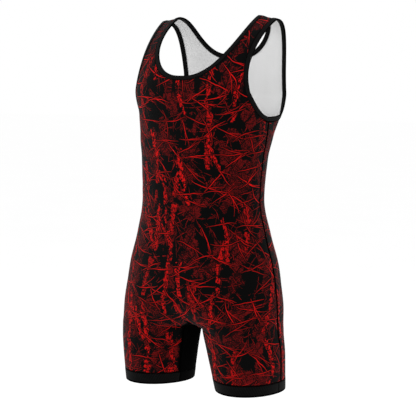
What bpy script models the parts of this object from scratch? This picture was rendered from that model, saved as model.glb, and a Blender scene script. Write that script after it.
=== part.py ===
"""Wrestling singlet, worn: a one-piece suit of stretch cloth standing in the shape of a body.

Frame: metres, +Z up, the wearer's front towards -Y and their left side towards +X. The
origin lies midway between the two strap tops, on the inside of the cloth, where the
shoulders carry it, so nearly the whole garment hangs below z = 0.

One surface gives every piece its shape. body(angle, level) returns a point of the cloth's
outer face on the wearer's left half: angle goes round from the side seam, negative
towards the front and positive towards the back, and level goes up from the leg hem to the
ridge of the shoulder, where the front and the back meet. Each panel is a grid of such
points between its own edges, made a wall of cloth, and the right half is its mirror.
"""
import bpy
import numpy as np

# Cloth and making ------------------------------------------------------------------------
CLOTH = 0.0012             # wall of a panel
TAPE = 0.0009              # cloth of the bindings, folded over the edge
SEAM_GAP = 0.0003          # left open between neighbouring pieces
BINDING_WIDTH = 0.0105     # from the folded edge to the raw edge of the binding
FOLD_DEPTH = 0.0012        # cloth edge to folded edge, inside a binding
BAND_HEIGHT = 0.024        # leg band
BAND_PROUD = 0.0004        # how far a leg band stands out of the panel above it
BAND_WALL = 0.0022

# Levels -----------------------------------------------------------------------------------
SHOULDER = 0.0055          # outer face on the ridge, at the neck side of the strap
CHEST = -0.153             # above this the front and back close in towards the ridge
HEM = -0.778
BAND_TOP = HEM + BAND_HEIGHT
FORK = -0.553              # below this the centre front and back turn in towards the crotch
CROTCH = -0.649

# Rings round the body, down to the hem. Depths are measured from the ring's
# centre; a squareness of 2 is an ellipse and more is fuller at the corners.
RING_COLUMNS = ("level", "half_width", "front", "back", "centre", "front_square", "back_square")
RINGS = (
    (-0.103, 0.155, 0.123, 0.113, -0.037, 2.65, 5.0),  # as the chest, so that the rings run out level
    (-0.153, 0.155, 0.123, 0.113, -0.037, 2.65, 5.0),  # chest, across the armholes
    (-0.206, 0.151, 0.107, 0.110, -0.048, 2.3, 3.2),   # armhole bottom
    (-0.248, 0.149, 0.108, 0.112, -0.055, 2.0, 2.2),
    (-0.293, 0.143, 0.103, 0.108, -0.060, 2.0, 2.0),   # ribs
    (-0.378, 0.139, 0.099, 0.099, -0.065, 2.0, 2.0),   # waist
    (-0.453, 0.153, 0.100, 0.110, -0.064, 2.0, 2.0),
    (-0.523, 0.172, 0.103, 0.120, -0.065, 2.0, 2.0),   # hips
    (-0.593, 0.182, 0.100, 0.112, -0.067, 2.0, 2.0),   # seat
    (-0.648, 0.185, 0.088, 0.088, -0.068, 2.0, 2.0),
    (-0.693, 0.190, 0.084, 0.075, -0.064, 2.0, 2.0),   # thigh
    (-0.733, 0.188, 0.086, 0.076, -0.060, 2.0, 2.0),
    (-0.778, 0.184, 0.088, 0.078, -0.055, 2.0, 2.0),   # hem
)
CROTCH_SQUARE = 2.6        # how squarely the centre line rounds under the crotch
CROTCH_SOFT = 0.036        # how softly the two legs run into each other across the middle
CROTCH_SOFT_TOP = -0.413   # where that softening begins
LEG_GAP = 0.040            # half of the gap between the two hems
LEG_GAP_ARCH = 0.85        # under 1, the gap opens as an arch from the crotch

# Shoulder: the front and back arch from the chest up to the ridge.
RIDGE_NECK_X = 0.097       # strap top, neck side
RIDGE_ARM_X = 0.143        # strap top, arm side
RIDGE_DROP = 0.009         # fall of the strap top from its neck side to its arm side
RIDGE_ROUND = 0.030        # how softly the ridge's line turns over at the middle of the neck
FRONT_ARCH = 1.3           # squareness of the arch in front
BACK_ARCH = 2.15           # and behind
FRONT_STRAP_SQUARE = 3.0   # squareness of the half ring up on the ridge, in front
BACK_STRAP_SQUARE = 7.0    # and behind
ARCH_LEAN = 2.8            # how late the arch leans over to the ridge

# Edges of the openings.
NECK_COLUMNS = ("bottom", "square")
FRONT_NECK = (-0.132, 2.6)
BACK_NECK = (-0.106, 2.8)
ARMHOLE_BOTTOM = -0.204
ARMHOLE_COLUMNS = ("widest_level", "widest_degrees", "square", "ease_to_the_shoulder")
FRONT_ARMHOLE = (-0.101, 38.0, 2.0, 2.6)
BACK_ARMHOLE = (-0.126, 47.5, 3.4, 1.1)

# The inner-thigh panel's seam, from the leg band up to its peak on the centre line, as
# degrees round from the side seam. The seam behind is the same, turned to the back.
INNER_SEAM_COLUMNS = ("level", "degrees")
INNER_SEAM = (
    (BAND_TOP, 158.0),
    (-0.713, 155.5),
    (-0.678, 156.0),
    (CROTCH - 0.001, 158.0),
    (CROTCH + 0.004, 153.3),
)
INNER_SEAM_PEAK = CROTCH + 0.008

# Mesh ---------------------------------------------------------------------------------------
LEG_ROWS = 5               # rows of a panel beside the inner-thigh panel
CENTRE_ROWS = 14           # from there up to the neck
NECK_ROWS = 12             # along the neckline
ARMHOLE_ROWS = 17          # along each side of an armhole
SIDE_ROWS = LEG_ROWS + CENTRE_ROWS + NECK_ROWS - ARMHOLE_ROWS   # rows that end on the side seam
PANEL_COLUMNS = 10
THIGH_ROWS = 3             # rows of the inner-thigh panel that end on the inside of the thigh
INNER_COLUMNS = 5
BAND_STATIONS = 32
DENSE = 240                # samples of a curve before it is spaced evenly

# Colours, as linear RGB ---------------------------------------------------------------------
PRINT_RED = (0.085, 0.004, 0.004, 1.0)
BLACK = (0.006, 0.006, 0.007, 1.0)


# The surface --------------------------------------------------------------------------------
def ring_value(column, level):
    """A column of RINGS at any level: a cubic through the rows that never overshoots them."""
    rows = np.array(RINGS)[::-1]
    x, y = rows[:, 0], rows[:, RING_COLUMNS.index(column)]
    step = np.diff(x)
    slope = np.diff(y) / step
    weight_a, weight_b = 2 * step[1:] + step[:-1], step[1:] + 2 * step[:-1]
    same = slope[1:] * slope[:-1] > 0
    safe_a, safe_b = np.where(same, slope[:-1], 1.0), np.where(same, slope[1:], 1.0)
    inner = np.where(same, (weight_a + weight_b) / (weight_a / safe_a + weight_b / safe_b), 0.0)
    tangent = np.concatenate([slope[:1], inner, slope[-1:]])
    level = np.clip(level, x[0], x[-1])
    i = np.clip(np.searchsorted(x, level, side="right") - 1, 0, len(step) - 1)
    t = (level - x[i]) / step[i]
    return ((2 * t**3 - 3 * t**2 + 1) * y[i] + (t**3 - 2 * t**2 + t) * step[i] * tangent[i]
            + (3 * t**2 - 2 * t**3) * y[i + 1] + (t**3 - t**2) * step[i] * tangent[i + 1])


def crotch_turn(level):
    """How far the half ring has closed under the crotch: 0 at the fork and 1 at the crotch."""
    t = np.clip((FORK - level) / (FORK - CROTCH), 0.0, 1.0)
    closed = (1 - t**CROTCH_SQUARE) ** (2 / CROTCH_SQUARE)
    return np.sqrt(np.maximum(1 - closed, 0.0))


def centre_angle(level):
    """The angle of the centre line at a level above the crotch."""
    return np.arccos(-crotch_turn(level))


def centre_level(angle):
    """The level at which the centre line under the fork has a given angle."""
    t = (1 - np.abs(np.sin(angle)) ** CROTCH_SQUARE) ** (1 / CROTCH_SQUARE)
    return FORK - t * (FORK - CROTCH)


def squared(angle, square):
    """Cosine and sine of a point on a superellipse of unit size, seen at the angle."""
    c, s = np.cos(angle), np.sin(angle)
    radius = (np.abs(c) ** square + np.abs(s) ** square) ** (1 / square)
    return c / radius, s / radius


def body(angle, level):
    """Points of the cloth's outer face, as an array with a last axis of x, y, z.

    Below the chest a level is a height, and the half ring is a superellipse from centre
    front to centre back. Under the fork the half ring closes round its leg. Above the chest
    the level turns a quarter of a circle up to the ridge: the ring's depth shrinks with its
    cosine, its height grows with its sine, and its middle leans over to the ridge at y = 0,
    while its squareness eases over to that of the straps.
    """
    angle, level = np.broadcast_arrays(np.asarray(angle, float), np.asarray(level, float))
    low = np.minimum(level, CHEST)
    width, centre = ring_value("half_width", low), ring_value("centre", low)
    behind = np.sin(angle) > 0
    depth = np.where(behind, ring_value("back", low), ring_value("front", low))
    square = np.where(behind, ring_value("back_square", low), ring_value("front_square", low))
    part = np.clip((level - CHEST) / (SHOULDER - CHEST), 0.0, 1.0)
    strap_square = np.where(behind, BACK_STRAP_SQUARE, FRONT_STRAP_SQUARE)
    square = square + (strap_square - square) * part**2 * (3 - 2 * part)
    c, s = squared(angle, square)

    soft = CROTCH_SOFT * np.clip((CROTCH_SOFT_TOP - low) / (CROTCH_SOFT_TOP - FORK), 1e-4, 1.0)
    reach = np.sqrt(width**2 + soft**2) - soft
    gap = LEG_GAP * np.clip((CROTCH - low) / (CROTCH - HEM), 0.0, None) ** LEG_GAP_ARCH
    gap = np.sqrt(gap**2 + soft**2) - soft
    turn = crotch_turn(low)
    leg = low < CROTCH
    radius = np.where(leg, (reach - gap) / 2, reach / (1 + turn))
    middle = np.where(leg, (reach + gap) / 2, turn * radius)
    across = middle + radius * c
    x = np.sqrt(np.maximum((across + soft) ** 2 - soft**2, 0.0))
    x = np.where(across < -1e-9, -x, x)

    arch = np.where(behind, BACK_ARCH, FRONT_ARCH)
    shrink, rise = squared(part * np.pi / 2, arch)
    out = np.hypot(x, RIDGE_ROUND) - np.hypot(RIDGE_NECK_X, RIDGE_ROUND)
    ridge = SHOULDER - RIDGE_DROP * out / (RIDGE_ARM_X - RIDGE_NECK_X)
    y = centre + depth * s * shrink - centre * rise**ARCH_LEAN
    z = np.where(level > CHEST, CHEST + rise * (ridge - CHEST), level)
    return np.stack([x, y, z], -1)


def slopes(angle, level):
    """Change of a body point with the angle and with the level, taken just inside the edges."""
    small_angle, small_level = 1e-3, 1e-4
    inside = np.where(np.sin(angle) > 0, -1.0, 1.0) * small_angle
    angle = angle + 5 * inside
    level = np.minimum(level, SHOULDER - small_level)
    by_angle = (body(angle + inside, level) - body(angle, level)) / inside[..., None]
    by_level = (body(angle, level + small_level) - body(angle, level - small_level))
    return by_angle, by_level / (2 * small_level)


def outward(angle, level):
    """Unit vectors square to the cloth, pointing away from the body."""
    by_angle, by_level = slopes(angle, level)
    normal = np.cross(by_angle, by_level)
    on_centre = body(angle, level)[..., 0] < 1e-6
    normal[..., 0] = np.where(on_centre, 0.0, normal[..., 0])
    return normal / np.linalg.norm(normal, axis=-1, keepdims=True)


def spaced(angle, level, count):
    """A curve on the body, given densely, as count + 1 points spaced evenly along it."""
    length = np.linalg.norm(np.diff(body(angle, level), axis=0), axis=1)
    along = np.concatenate([[0.0], np.cumsum(length)])
    even = np.linspace(0.0, along[-1], count + 1)
    return np.interp(even, along, angle), np.interp(even, along, level)


def walk(angle, level, distance, side, start_flat, end_flat):
    """Step off a curve on the body, square to it and within the cloth.

    side is +1 or -1. start_flat and end_flat name the axis along which the first and the
    last point may not move, so that neighbouring pieces keep a common end.
    """
    steps = 4
    points = body(angle, level)
    tangent = np.gradient(points, axis=0)
    heading = side * np.cross(outward(angle, level), tangent)
    heading[0, "xyz".index(start_flat)] = 0.0
    heading[-1, "xyz".index(end_flat)] = 0.0
    heading /= np.linalg.norm(heading, axis=1, keepdims=True)
    for _ in range(steps):
        by_angle, by_level = slopes(angle, level)
        aa, ab, bb = [np.sum(p * q, axis=1) for p, q in
                      ((by_angle, by_angle), (by_angle, by_level), (by_level, by_level))]
        ha, hb = np.sum(heading * by_angle, axis=1), np.sum(heading * by_level, axis=1)
        scale = distance / steps / (aa * bb - ab * ab)
        angle = angle + scale * (ha * bb - hb * ab)
        level = level + scale * (hb * aa - ha * ab)
    return angle, level


# The edges, each as a pair of arrays: angle and level -----------------------------------------
def ridge_angle(x, side):
    """Angle of a point of the ridge, which lies x out from the middle."""
    square = BACK_STRAP_SQUARE if side > 0 else FRONT_STRAP_SQUARE
    across = x / ring_value("half_width", CHEST)
    return side * np.arctan((across**-square - 1) ** (1 / square))


def neck_edge(side):
    """Neckline from the centre line to the ridge: a quarter of a superellipse."""
    bottom, square = FRONT_NECK if side < 0 else BACK_NECK
    across, down = squared(np.linspace(np.pi / 2, 0.0, DENSE), square)
    half = np.pi / 2 - abs(ridge_angle(RIDGE_NECK_X, side))
    angle = side * (np.pi / 2 - half * np.clip(across, 0.0, 1.0))
    level = SHOULDER - (SHOULDER - bottom) * np.clip(down, 0.0, 1.0)
    return spaced(angle, level, NECK_ROWS)


def armhole_edge(side):
    """Armhole from its bottom on the side seam to the ridge.

    Below its widest level it is a quarter of a superellipse; above, its angle eases to that
    of the strap top.
    """
    widest_level, widest_degrees, square, ease = FRONT_ARMHOLE if side < 0 else BACK_ARMHOLE
    widest = np.radians(widest_degrees)
    across, down = squared(np.linspace(np.pi / 2, 0.0, DENSE), square)
    low_angle = widest * np.clip(across, 0.0, 1.0)
    low_level = widest_level - (widest_level - ARMHOLE_BOTTOM) * np.clip(down, 0.0, 1.0)
    t = np.linspace(0.0, 1.0, DENSE)[1:]
    high_angle = widest - (widest - abs(ridge_angle(RIDGE_ARM_X, side))) * t**ease
    high_level = widest_level + (SHOULDER - widest_level) * t
    angle = side * np.concatenate([low_angle, high_angle])
    return spaced(angle, np.concatenate([low_level, high_level]), ARMHOLE_ROWS)


def inner_seam():
    """Front seam of the inner-thigh panel, from the leg band up to its peak."""
    level, degrees = np.array(INNER_SEAM).T
    level = np.append(level, INNER_SEAM_PEAK)
    angle = np.append(np.radians(degrees), centre_angle(INNER_SEAM_PEAK))
    return -angle, level


# Meshes ------------------------------------------------------------------------------------------
def signed_volume(verts, faces):
    """Volume inside quads whose order is anticlockwise from outside, and minus it if not.

    A half that is open on the plane x = 0 gives its own volume too, because the origin is
    on that plane.
    """
    a, b, c, d = [verts[faces[:, i]] for i in range(4)]
    return np.sum(a * np.cross(b, c) + a * np.cross(c, d)) / 6


def show(name, verts, faces, colour, roughness, mirrored):
    """Put quads in the scene as a named object, facing out, with its own material."""
    if signed_volume(verts, faces) < 0:
        faces = faces[:, [0, 3, 2, 1]]
    mesh = bpy.data.meshes.new(name)
    polygons = [[a for a, b in zip(face, face[1:] + face[:1]) if a != b] for face in faces.tolist()]
    mesh.from_pydata(verts.tolist(), [], [face for face in polygons if len(face) > 2])
    mesh.update()
    piece = bpy.data.objects.new(name, mesh)
    bpy.data.collections["wrestling_singlet"].objects.link(piece)
    material = bpy.data.materials.new(name + "_cloth")
    material.use_nodes = True
    shader = material.node_tree.nodes["Principled BSDF"]
    shader.inputs["Base Color"].default_value = colour
    shader.inputs["Roughness"].default_value = roughness
    shader.inputs["Metallic"].default_value = 0.0
    mesh.materials.append(material)
    mesh.shade_smooth()
    mesh.set_sharp_from_angle(angle=np.radians(50.0))
    if mirrored:
        mirror = piece.modifiers.new("right half", "MIRROR")
        mirror.use_axis[0] = True
        mirror.use_mirror_merge = True
        mirror.merge_threshold = 0.0001


def wall(name, grids, colour):
    """Make a panel's left half from grids of body points, and mirror it.

    A grid is an array of angles, one of levels, and one that says which cells are cloth.
    Grids join where their points meet, and a row of points may close to a single one. The
    outer face runs through the points and the inner face lies a cloth's thickness inside.
    The wall is closed along every edge of the cloth except the one on the centre plane,
    where the mirrored half joins. The cells of a first column are split on the diagonal
    that rises towards it, as the binding over it is.
    """
    outer, inner, cells, count = [], [], [], 0
    for angle, level, keep in grids:
        index = np.arange(angle.size).reshape(angle.shape) + count
        count += angle.size
        quads = np.stack([index[:-1, :-1], index[:-1, 1:], index[1:, 1:], index[1:, :-1]], -1)
        quads[:, 0] = np.roll(quads[:, 0], 1, axis=-1)
        cells.append(quads[keep])
        points = body(angle, level).reshape(-1, 3)
        outer.append(points)
        inner.append(points - CLOTH * outward(angle, level).reshape(-1, 3))
    outer, inner, cells = [np.concatenate(part) for part in (outer, inner, cells)]
    _, first, same = np.unique(np.round(outer, 6), axis=0, return_index=True, return_inverse=True)
    outer, inner, cells = outer[first], inner[first], same.reshape(-1)[cells]
    centre = outer[:, 0] < 1e-6
    inner[centre, 0] = 0.0
    edges = {(a, b) for cell in cells.tolist() for a, b in zip(cell, cell[1:] + cell[:1]) if a != b}
    rim = [(b, a, a + len(outer), b + len(outer)) for a, b in sorted(edges)
           if (b, a) not in edges and not (centre[a] and centre[b])]
    faces = np.concatenate([cells, cells[:, [0, 3, 2, 1]] + len(outer), np.array(rim)])
    used, faces = np.unique(faces, return_inverse=True)
    show(name, np.concatenate([outer, inner])[used], faces.reshape(-1, 4), colour, 0.75, True)


def strip(name, sections, chains, colour, hand=1, mirrored=False):
    """Loft a closed profile along chains of stations.

    sections is an array of stations, profile points and xyz. A chain is a list of station
    numbers; the first chain runs one way along the edge and any other runs back, so its
    cells are turned. Every cell is split from the earlier station to the later one, and
    the last cell of the profile the other way.
    """
    index = np.arange(sections.shape[0] * sections.shape[1]).reshape(sections.shape[:2])
    faces = []
    for number, chain in enumerate(chains):
        run = index[chain]
        ahead = np.roll(run, -1, axis=1)
        cells = np.stack([run[:-1], run[1:], ahead[1:], ahead[:-1]], -1)
        cells[:, -1] = np.roll(cells[:, -1], 1, axis=-1)
        cells = cells.reshape(-1, 4)
        faces.append(cells if number == 0 else cells[:, [0, 3, 2, 1]])
    verts = sections.reshape(-1, 3) * (hand, 1.0, 1.0)
    show(name, verts, np.concatenate(faces), colour, 0.6, mirrored)


# Pieces ------------------------------------------------------------------------------------------
def panel_grid(side):
    """The left half of the front (side -1) or back (side +1) panel, as angles and levels.

    Row by row it goes from the leg band to the ridge. A row starts on the inner-thigh seam,
    then on the centre line, then inside the neck binding. It ends on the side seam, then
    inside the armhole binding. Beyond each binding's raw edge one more column of cells
    reaches to the cloth's own edge under the fold.
    """
    half_gap = SEAM_GAP / 2
    neck = neck_edge(side)
    arm = armhole_edge(side)
    neck_in = walk(*neck, BINDING_WIDTH, side, "x", "y")
    neck_raw = walk(*neck, FOLD_DEPTH + SEAM_GAP, side, "x", "y")
    arm_in = walk(*arm, BINDING_WIDTH, -side, "y", "y")
    arm_raw = walk(*arm, FOLD_DEPTH + SEAM_GAP, -side, "y", "y")

    seam = walk(*inner_seam(), half_gap, -1, "z", "x")
    seam = (seam[0] * -side, seam[1])
    centre_rise = np.linspace(seam[1][-1], neck_in[1][0], CENTRE_ROWS + 1)[1:-1]
    start_angle = np.concatenate([seam[0], side * centre_angle(centre_rise), neck_in[0]])
    start_level = np.concatenate([seam[1], centre_rise, neck_in[1]])
    start_angle[LEG_ROWS] = side * centre_angle(start_level[LEG_ROWS])

    side_rise = np.linspace(BAND_TOP, arm_in[1][0], SIDE_ROWS + 1)[:-1]
    end_angle = np.concatenate([np.zeros(SIDE_ROWS), arm_in[0]])
    end_level = np.concatenate([side_rise, arm_in[1]])
    end_angle[:SIDE_ROWS + 1] = side * half_gap / ring_value("front" if side < 0 else "back",
                                                             end_level[:SIDE_ROWS + 1])

    angle, level = [], []
    t = np.linspace(0.0, 1.0, DENSE)
    for i in range(len(start_angle)):
        row = spaced(start_angle[i] + (end_angle[i] - start_angle[i]) * t,
                     start_level[i] + (end_level[i] - start_level[i]) * t, PANEL_COLUMNS)
        before = max(i - LEG_ROWS - CENTRE_ROWS, 0)
        after = max(i - SIDE_ROWS, 0)
        angle.append(np.concatenate([neck_raw[0][before:before + 1], row[0], arm_raw[0][after:after + 1]]))
        level.append(np.concatenate([neck_raw[1][before:before + 1], row[1], arm_raw[1][after:after + 1]]))
    angle, level = np.array(angle), np.array(level)
    angle[SIDE_ROWS, -1] = end_angle[SIDE_ROWS]

    by_level = np.linalg.norm(slopes(angle[-1], level[-1])[1], axis=1)
    level[-1] -= half_gap / by_level

    keep = np.ones((len(angle) - 1, angle.shape[1] - 1), bool)
    keep[:LEG_ROWS + CENTRE_ROWS, 0] = False
    keep[:SIDE_ROWS, -1] = False
    return angle, level, keep


def inner_thigh_grid(side):
    """The front (side -1) or back (side +1) half of the left inner-thigh panel.

    Its rows start on the seam. They end on the inside of the thigh and then, from the crotch
    up, on the centre line, as far as the peak where the seam meets that line and the rows
    close to a point. Those upper rows keep to the cloth by closing the gap that the body
    leaves to the centre line, as the square of the way still to go. The back half is the
    front half turned over, with its columns in the opposite order so that both face out.
    """
    seam_angle, seam_level = walk(*inner_seam(), SEAM_GAP / 2, 1, "z", "x")
    peak = -centre_angle(seam_level[-1])
    seam_angle[-1] = peak
    thigh = np.linspace(BAND_TOP, CROTCH, THIGH_ROWS + 1)
    under = np.linspace(-np.pi, peak, LEG_ROWS - THIGH_ROWS + 1)[1:]
    end_angle = np.concatenate([np.full(THIGH_ROWS + 1, -np.pi), under])
    end_level = np.concatenate([thigh, centre_level(under)])
    end_level[-1] = seam_level[-1]
    t = np.linspace(0.0, 1.0, DENSE)
    rows = []
    for i in range(LEG_ROWS + 1):
        along = seam_level[i] + (end_level[i] - seam_level[i]) * t
        around = seam_angle[i] + (end_angle[i] - seam_angle[i]) * t
        if i >= THIGH_ROWS:
            gap = np.cos(seam_angle[i]) - np.cos(centre_angle(seam_level[i]))
            around = -np.arccos(gap * (1 - t) ** 2 + np.cos(centre_angle(along)))
        rows.append(spaced(around, along, INNER_COLUMNS))
    angle, level = [np.array(part) for part in zip(*rows)]
    if side > 0:
        angle, level = -angle[:, ::-1], level[:, ::-1]
    return angle, level, np.ones((LEG_ROWS, INNER_COLUMNS), bool)


def binding_sections(edge, raw_edge, lip_edge):
    """Profile of a binding folded over a cloth edge, at each point along the edge.

    The three curves are the folded edge, the slot's bottom and the binding's raw edge, all
    on the panel's outer face. The profile's two lips lie a seam gap off both faces of the cloth.
    """
    above, below = SEAM_GAP, -CLOTH - SEAM_GAP
    top, bottom = above + TAPE, below - TAPE
    round_off = TAPE * 0.7
    fold, slot, lip = [(body(*curve), outward(*curve)) for curve in (edge, raw_edge, lip_edge)]
    profile = (
        (lip, above), (lip, top), (slot, top), (fold, top - round_off),
        (fold, bottom + round_off), (slot, bottom), (lip, bottom), (lip, below),
        (slot, below), (slot, above),
    )
    return np.stack([points + offset * normal for (points, normal), offset in profile], 1)


def binding_half(edge, side, first, last, inward):
    """Sections of a binding along one edge curve."""
    slot = walk(*edge, FOLD_DEPTH, inward * side, first, last)
    lip = walk(*edge, BINDING_WIDTH, inward * side, first, last)
    return binding_sections(edge, slot, lip)


def neck_binding():
    """One loop round the neck: front half, ridge, back half, open at the centre plane."""
    front = binding_half(neck_edge(-1), -1, "x", "y", 1)
    back = binding_half(neck_edge(1), 1, "x", "y", 1)
    front[-1] = (front[-1] + back[-1]) / 2
    sections = np.concatenate([front, back[:-1]])
    sections[[0, len(front)], :, 0] = 0.0
    ridge = len(front) - 1
    chains = [list(range(len(front))), list(range(len(front), len(sections))) + [ridge]]
    strip("neck_binding", sections, chains, BLACK, mirrored=True)


def armhole_binding(name, hand):
    """One loop round an armhole; hand is +1 for the wearer's left and -1 for the right."""
    front = binding_half(armhole_edge(-1), -1, "y", "y", -1)
    back = binding_half(armhole_edge(1), 1, "y", "y", -1)
    front[[0, -1]] = (front[[0, -1]] + back[[0, -1]]) / 2
    sections = np.concatenate([front, back[1:-1]])
    ridge = len(front) - 1
    chains = [list(range(len(front))), [0] + list(range(len(front), len(sections))) + [ridge]]
    strip(name, sections, chains, BLACK, hand)


def leg_band(name, hand):
    """A double band of cloth round one hem, standing slightly proud of the panels."""
    angle = np.linspace(-np.pi, np.pi, BAND_STATIONS + 1)[:-1]
    top = BAND_TOP - SEAM_GAP
    edge = BAND_WALL / 2
    out, into = BAND_PROUD, BAND_PROUD - BAND_WALL
    profile = ((top, into), (top, out - edge / 2), (top - edge, out), (HEM + edge, out),
               (HEM, out - edge / 2), (HEM, into))
    sections = []
    for level, offset in profile:
        normal = outward(angle, np.full(BAND_STATIONS, level))
        normal[:, 2] = 0.0
        normal /= np.linalg.norm(normal, axis=1, keepdims=True)
        sections.append(body(angle, level) + offset * normal)
    strip(name, np.stack(sections, 1), [list(range(BAND_STATIONS)) + [0]], BLACK, hand)


def main():
    """Clear the scene and make every piece."""
    for old in list(bpy.data.objects):
        bpy.data.objects.remove(old)
    collection = bpy.data.collections.new("wrestling_singlet")
    bpy.context.scene.collection.children.link(collection)
    wall("front_panel", [panel_grid(-1)], PRINT_RED)
    wall("back_panel", [panel_grid(1)], PRINT_RED)
    wall("inner_thigh_panel", [inner_thigh_grid(-1), inner_thigh_grid(1)], BLACK)
    neck_binding()
    for hand, suffix in ((1, "left"), (-1, "right")):
        armhole_binding("armhole_binding_" + suffix, hand)
        leg_band("leg_band_" + suffix, hand)


main()
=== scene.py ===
"""Wrestling singlet: the finish of every piece of cloth, tape, rib and thread, and the stage.

Frame: metres, +Z up, the wearer's front towards -Y and their left side towards +X, with the
origin on the inside of the cloth midway between the strap tops.

One surface gives every piece its shape. body(angle, level) is a point of the cloth's outer
face on the wearer's left half: angle goes round from the side seam, negative towards the
front and positive towards the back, and level goes up from the leg hem to the ridge of the
shoulder. Panels are grids of such points, bindings and bands are profiles carried along
curves of such points, and the right half is the left one turned over.
"""

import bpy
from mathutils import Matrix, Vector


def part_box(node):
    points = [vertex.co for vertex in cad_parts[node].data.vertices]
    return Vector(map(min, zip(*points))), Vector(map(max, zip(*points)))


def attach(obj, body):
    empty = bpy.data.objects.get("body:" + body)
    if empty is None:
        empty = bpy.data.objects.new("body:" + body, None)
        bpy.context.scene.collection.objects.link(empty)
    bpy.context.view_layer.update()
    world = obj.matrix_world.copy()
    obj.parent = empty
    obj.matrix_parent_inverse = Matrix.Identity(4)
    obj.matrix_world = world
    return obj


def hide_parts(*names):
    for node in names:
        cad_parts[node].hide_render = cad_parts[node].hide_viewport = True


bl_info = {
    "name": "Wrestling Singlet",
    "version": (1, 0, 0),
    "blender": (4, 5, 0),
    "location": "3D View > Sidebar > Singlet",
    "description": "Makes the cloth, trim, stitching and stage of a worn wrestling singlet",
    "category": "Object",
}

import bpy
import numpy as np
from bpy.props import FloatProperty, FloatVectorProperty, PointerProperty

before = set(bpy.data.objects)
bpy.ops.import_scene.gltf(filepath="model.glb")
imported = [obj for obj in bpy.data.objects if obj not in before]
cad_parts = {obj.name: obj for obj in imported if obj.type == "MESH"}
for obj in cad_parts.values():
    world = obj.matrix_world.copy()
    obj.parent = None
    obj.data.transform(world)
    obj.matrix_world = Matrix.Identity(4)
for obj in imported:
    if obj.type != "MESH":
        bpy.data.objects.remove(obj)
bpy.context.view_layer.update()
LEFT_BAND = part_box("leg_band_left")

BODY = "root"
FRONT, BACK = -1, 1
LEFT, RIGHT = 1, -1
HANDS = ((LEFT, "left"), (RIGHT, "right"))

# Levels -------------------------------------------------------------------------------------
SHOULDER = 0.0055          # outer face on the ridge, at the neck side of the strap
CHEST = -0.153             # above this the front and back close in towards the ridge
HEM = round(LEFT_BAND[0].z, 4)
LIP_GAP = 0.0003           # left open between the cloth and each lip of a folded binding
SEAM_LINE = 0.00002        # left open where two pieces meet edge to edge
BAND_TOP = round(LEFT_BAND[1].z + LIP_GAP, 4)
FORK = -0.553              # below this the centre front and back turn in towards the crotch
CROTCH = -0.649

# Rings round the body, down to the hem. Depths are measured from the ring's
# centre; a squareness of 2 is an ellipse and more is fuller at the corners.
RING_COLUMNS = ("level", "half_width", "front", "back", "centre", "front_square", "back_square")
RINGS = (
    (-0.103, 0.155, 0.123, 0.113, -0.037, 2.65, 5.0),  # as the chest, so that the rings run out level
    (-0.153, 0.155, 0.123, 0.113, -0.037, 2.65, 5.0),  # chest, across the armholes
    (-0.206, 0.151, 0.107, 0.110, -0.048, 2.3, 3.2),   # armhole bottom
    (-0.248, 0.149, 0.108, 0.112, -0.055, 2.0, 2.2),
    (-0.293, 0.143, 0.103, 0.108, -0.060, 2.0, 2.0),   # ribs
    (-0.378, 0.139, 0.099, 0.099, -0.065, 2.0, 2.0),   # waist
    (-0.453, 0.153, 0.100, 0.110, -0.064, 2.0, 2.0),
    (-0.523, 0.172, 0.103, 0.120, -0.065, 2.0, 2.0),   # hips
    (-0.593, 0.182, 0.100, 0.112, -0.067, 2.0, 2.0),   # seat
    (-0.648, 0.185, 0.088, 0.088, -0.068, 2.0, 2.0),
    (-0.693, 0.190, 0.084, 0.075, -0.064, 2.0, 2.0),   # thigh
    (-0.733, 0.188, 0.086, 0.076, -0.060, 2.0, 2.0),
    (-0.778, 0.184, 0.088, 0.078, -0.055, 2.0, 2.0),   # hem
)
CROTCH_SQUARE = 2.6        # how squarely the centre line rounds under the crotch
CROTCH_SOFT = 0.036        # how softly the two legs run into each other across the middle
CROTCH_SOFT_TOP = -0.413   # where that softening begins
CROTCH_SOFT_LEAST = 1e-4   # share of it that is left above, so that nothing is divided by zero
LEG_GAP = 0.040            # half of the gap between the two hems
LEG_GAP_ARCH = 0.85        # under 1, the gap opens as an arch from the crotch

# Shoulder: the front and back arch from the chest up to the ridge.
RIDGE_NECK_X = 0.097       # strap top, neck side
RIDGE_ARM_X = 0.143        # strap top, arm side
RIDGE_DROP = 0.009         # fall of the strap top from its neck side to its arm side
RIDGE_ROUND = 0.030        # how softly the ridge's line turns over at the middle of the neck
FRONT_ARCH = 1.3           # squareness of the arch in front
BACK_ARCH = 2.15           # and behind
FRONT_STRAP_SQUARE = 3.0   # squareness of the half ring up on the ridge, in front
BACK_STRAP_SQUARE = 7.0    # and behind
ARCH_LEAN = 2.8            # how late the arch leans over to the ridge

# Edges of the openings. A neckline has the level of its bottom and its squareness. An armhole
# has the level and the degrees of its widest place, its squareness below there, and how late
# it eases to the strap top above.
FRONT_NECK = (-0.132, 2.6)
BACK_NECK = (-0.106, 2.8)
ARMHOLE_BOTTOM = -0.204
FRONT_ARMHOLE = (-0.101, 38.0, 2.0, 2.6)
BACK_ARMHOLE = (-0.126, 47.5, 3.4, 1.1)

# The inner-thigh panel's seam, from the leg band up to its peak on the centre line: levels,
# and degrees round from the side seam. The seam behind is the same, turned to the back.
SEAM_TURN = CROTCH - 0.001   # where it leaves the thigh and heads for the centre line
SEAM_AT_BAND = 158.0         # degrees round, where it meets the leg band
INNER_SEAM = (
    (BAND_TOP, SEAM_AT_BAND),
    (-0.713, 155.5),
    (-0.678, 156.0),
    (SEAM_TURN, 158.0),
    (CROTCH + 0.004, 153.3),
)
INNER_SEAM_PEAK = CROTCH + 0.008

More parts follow.
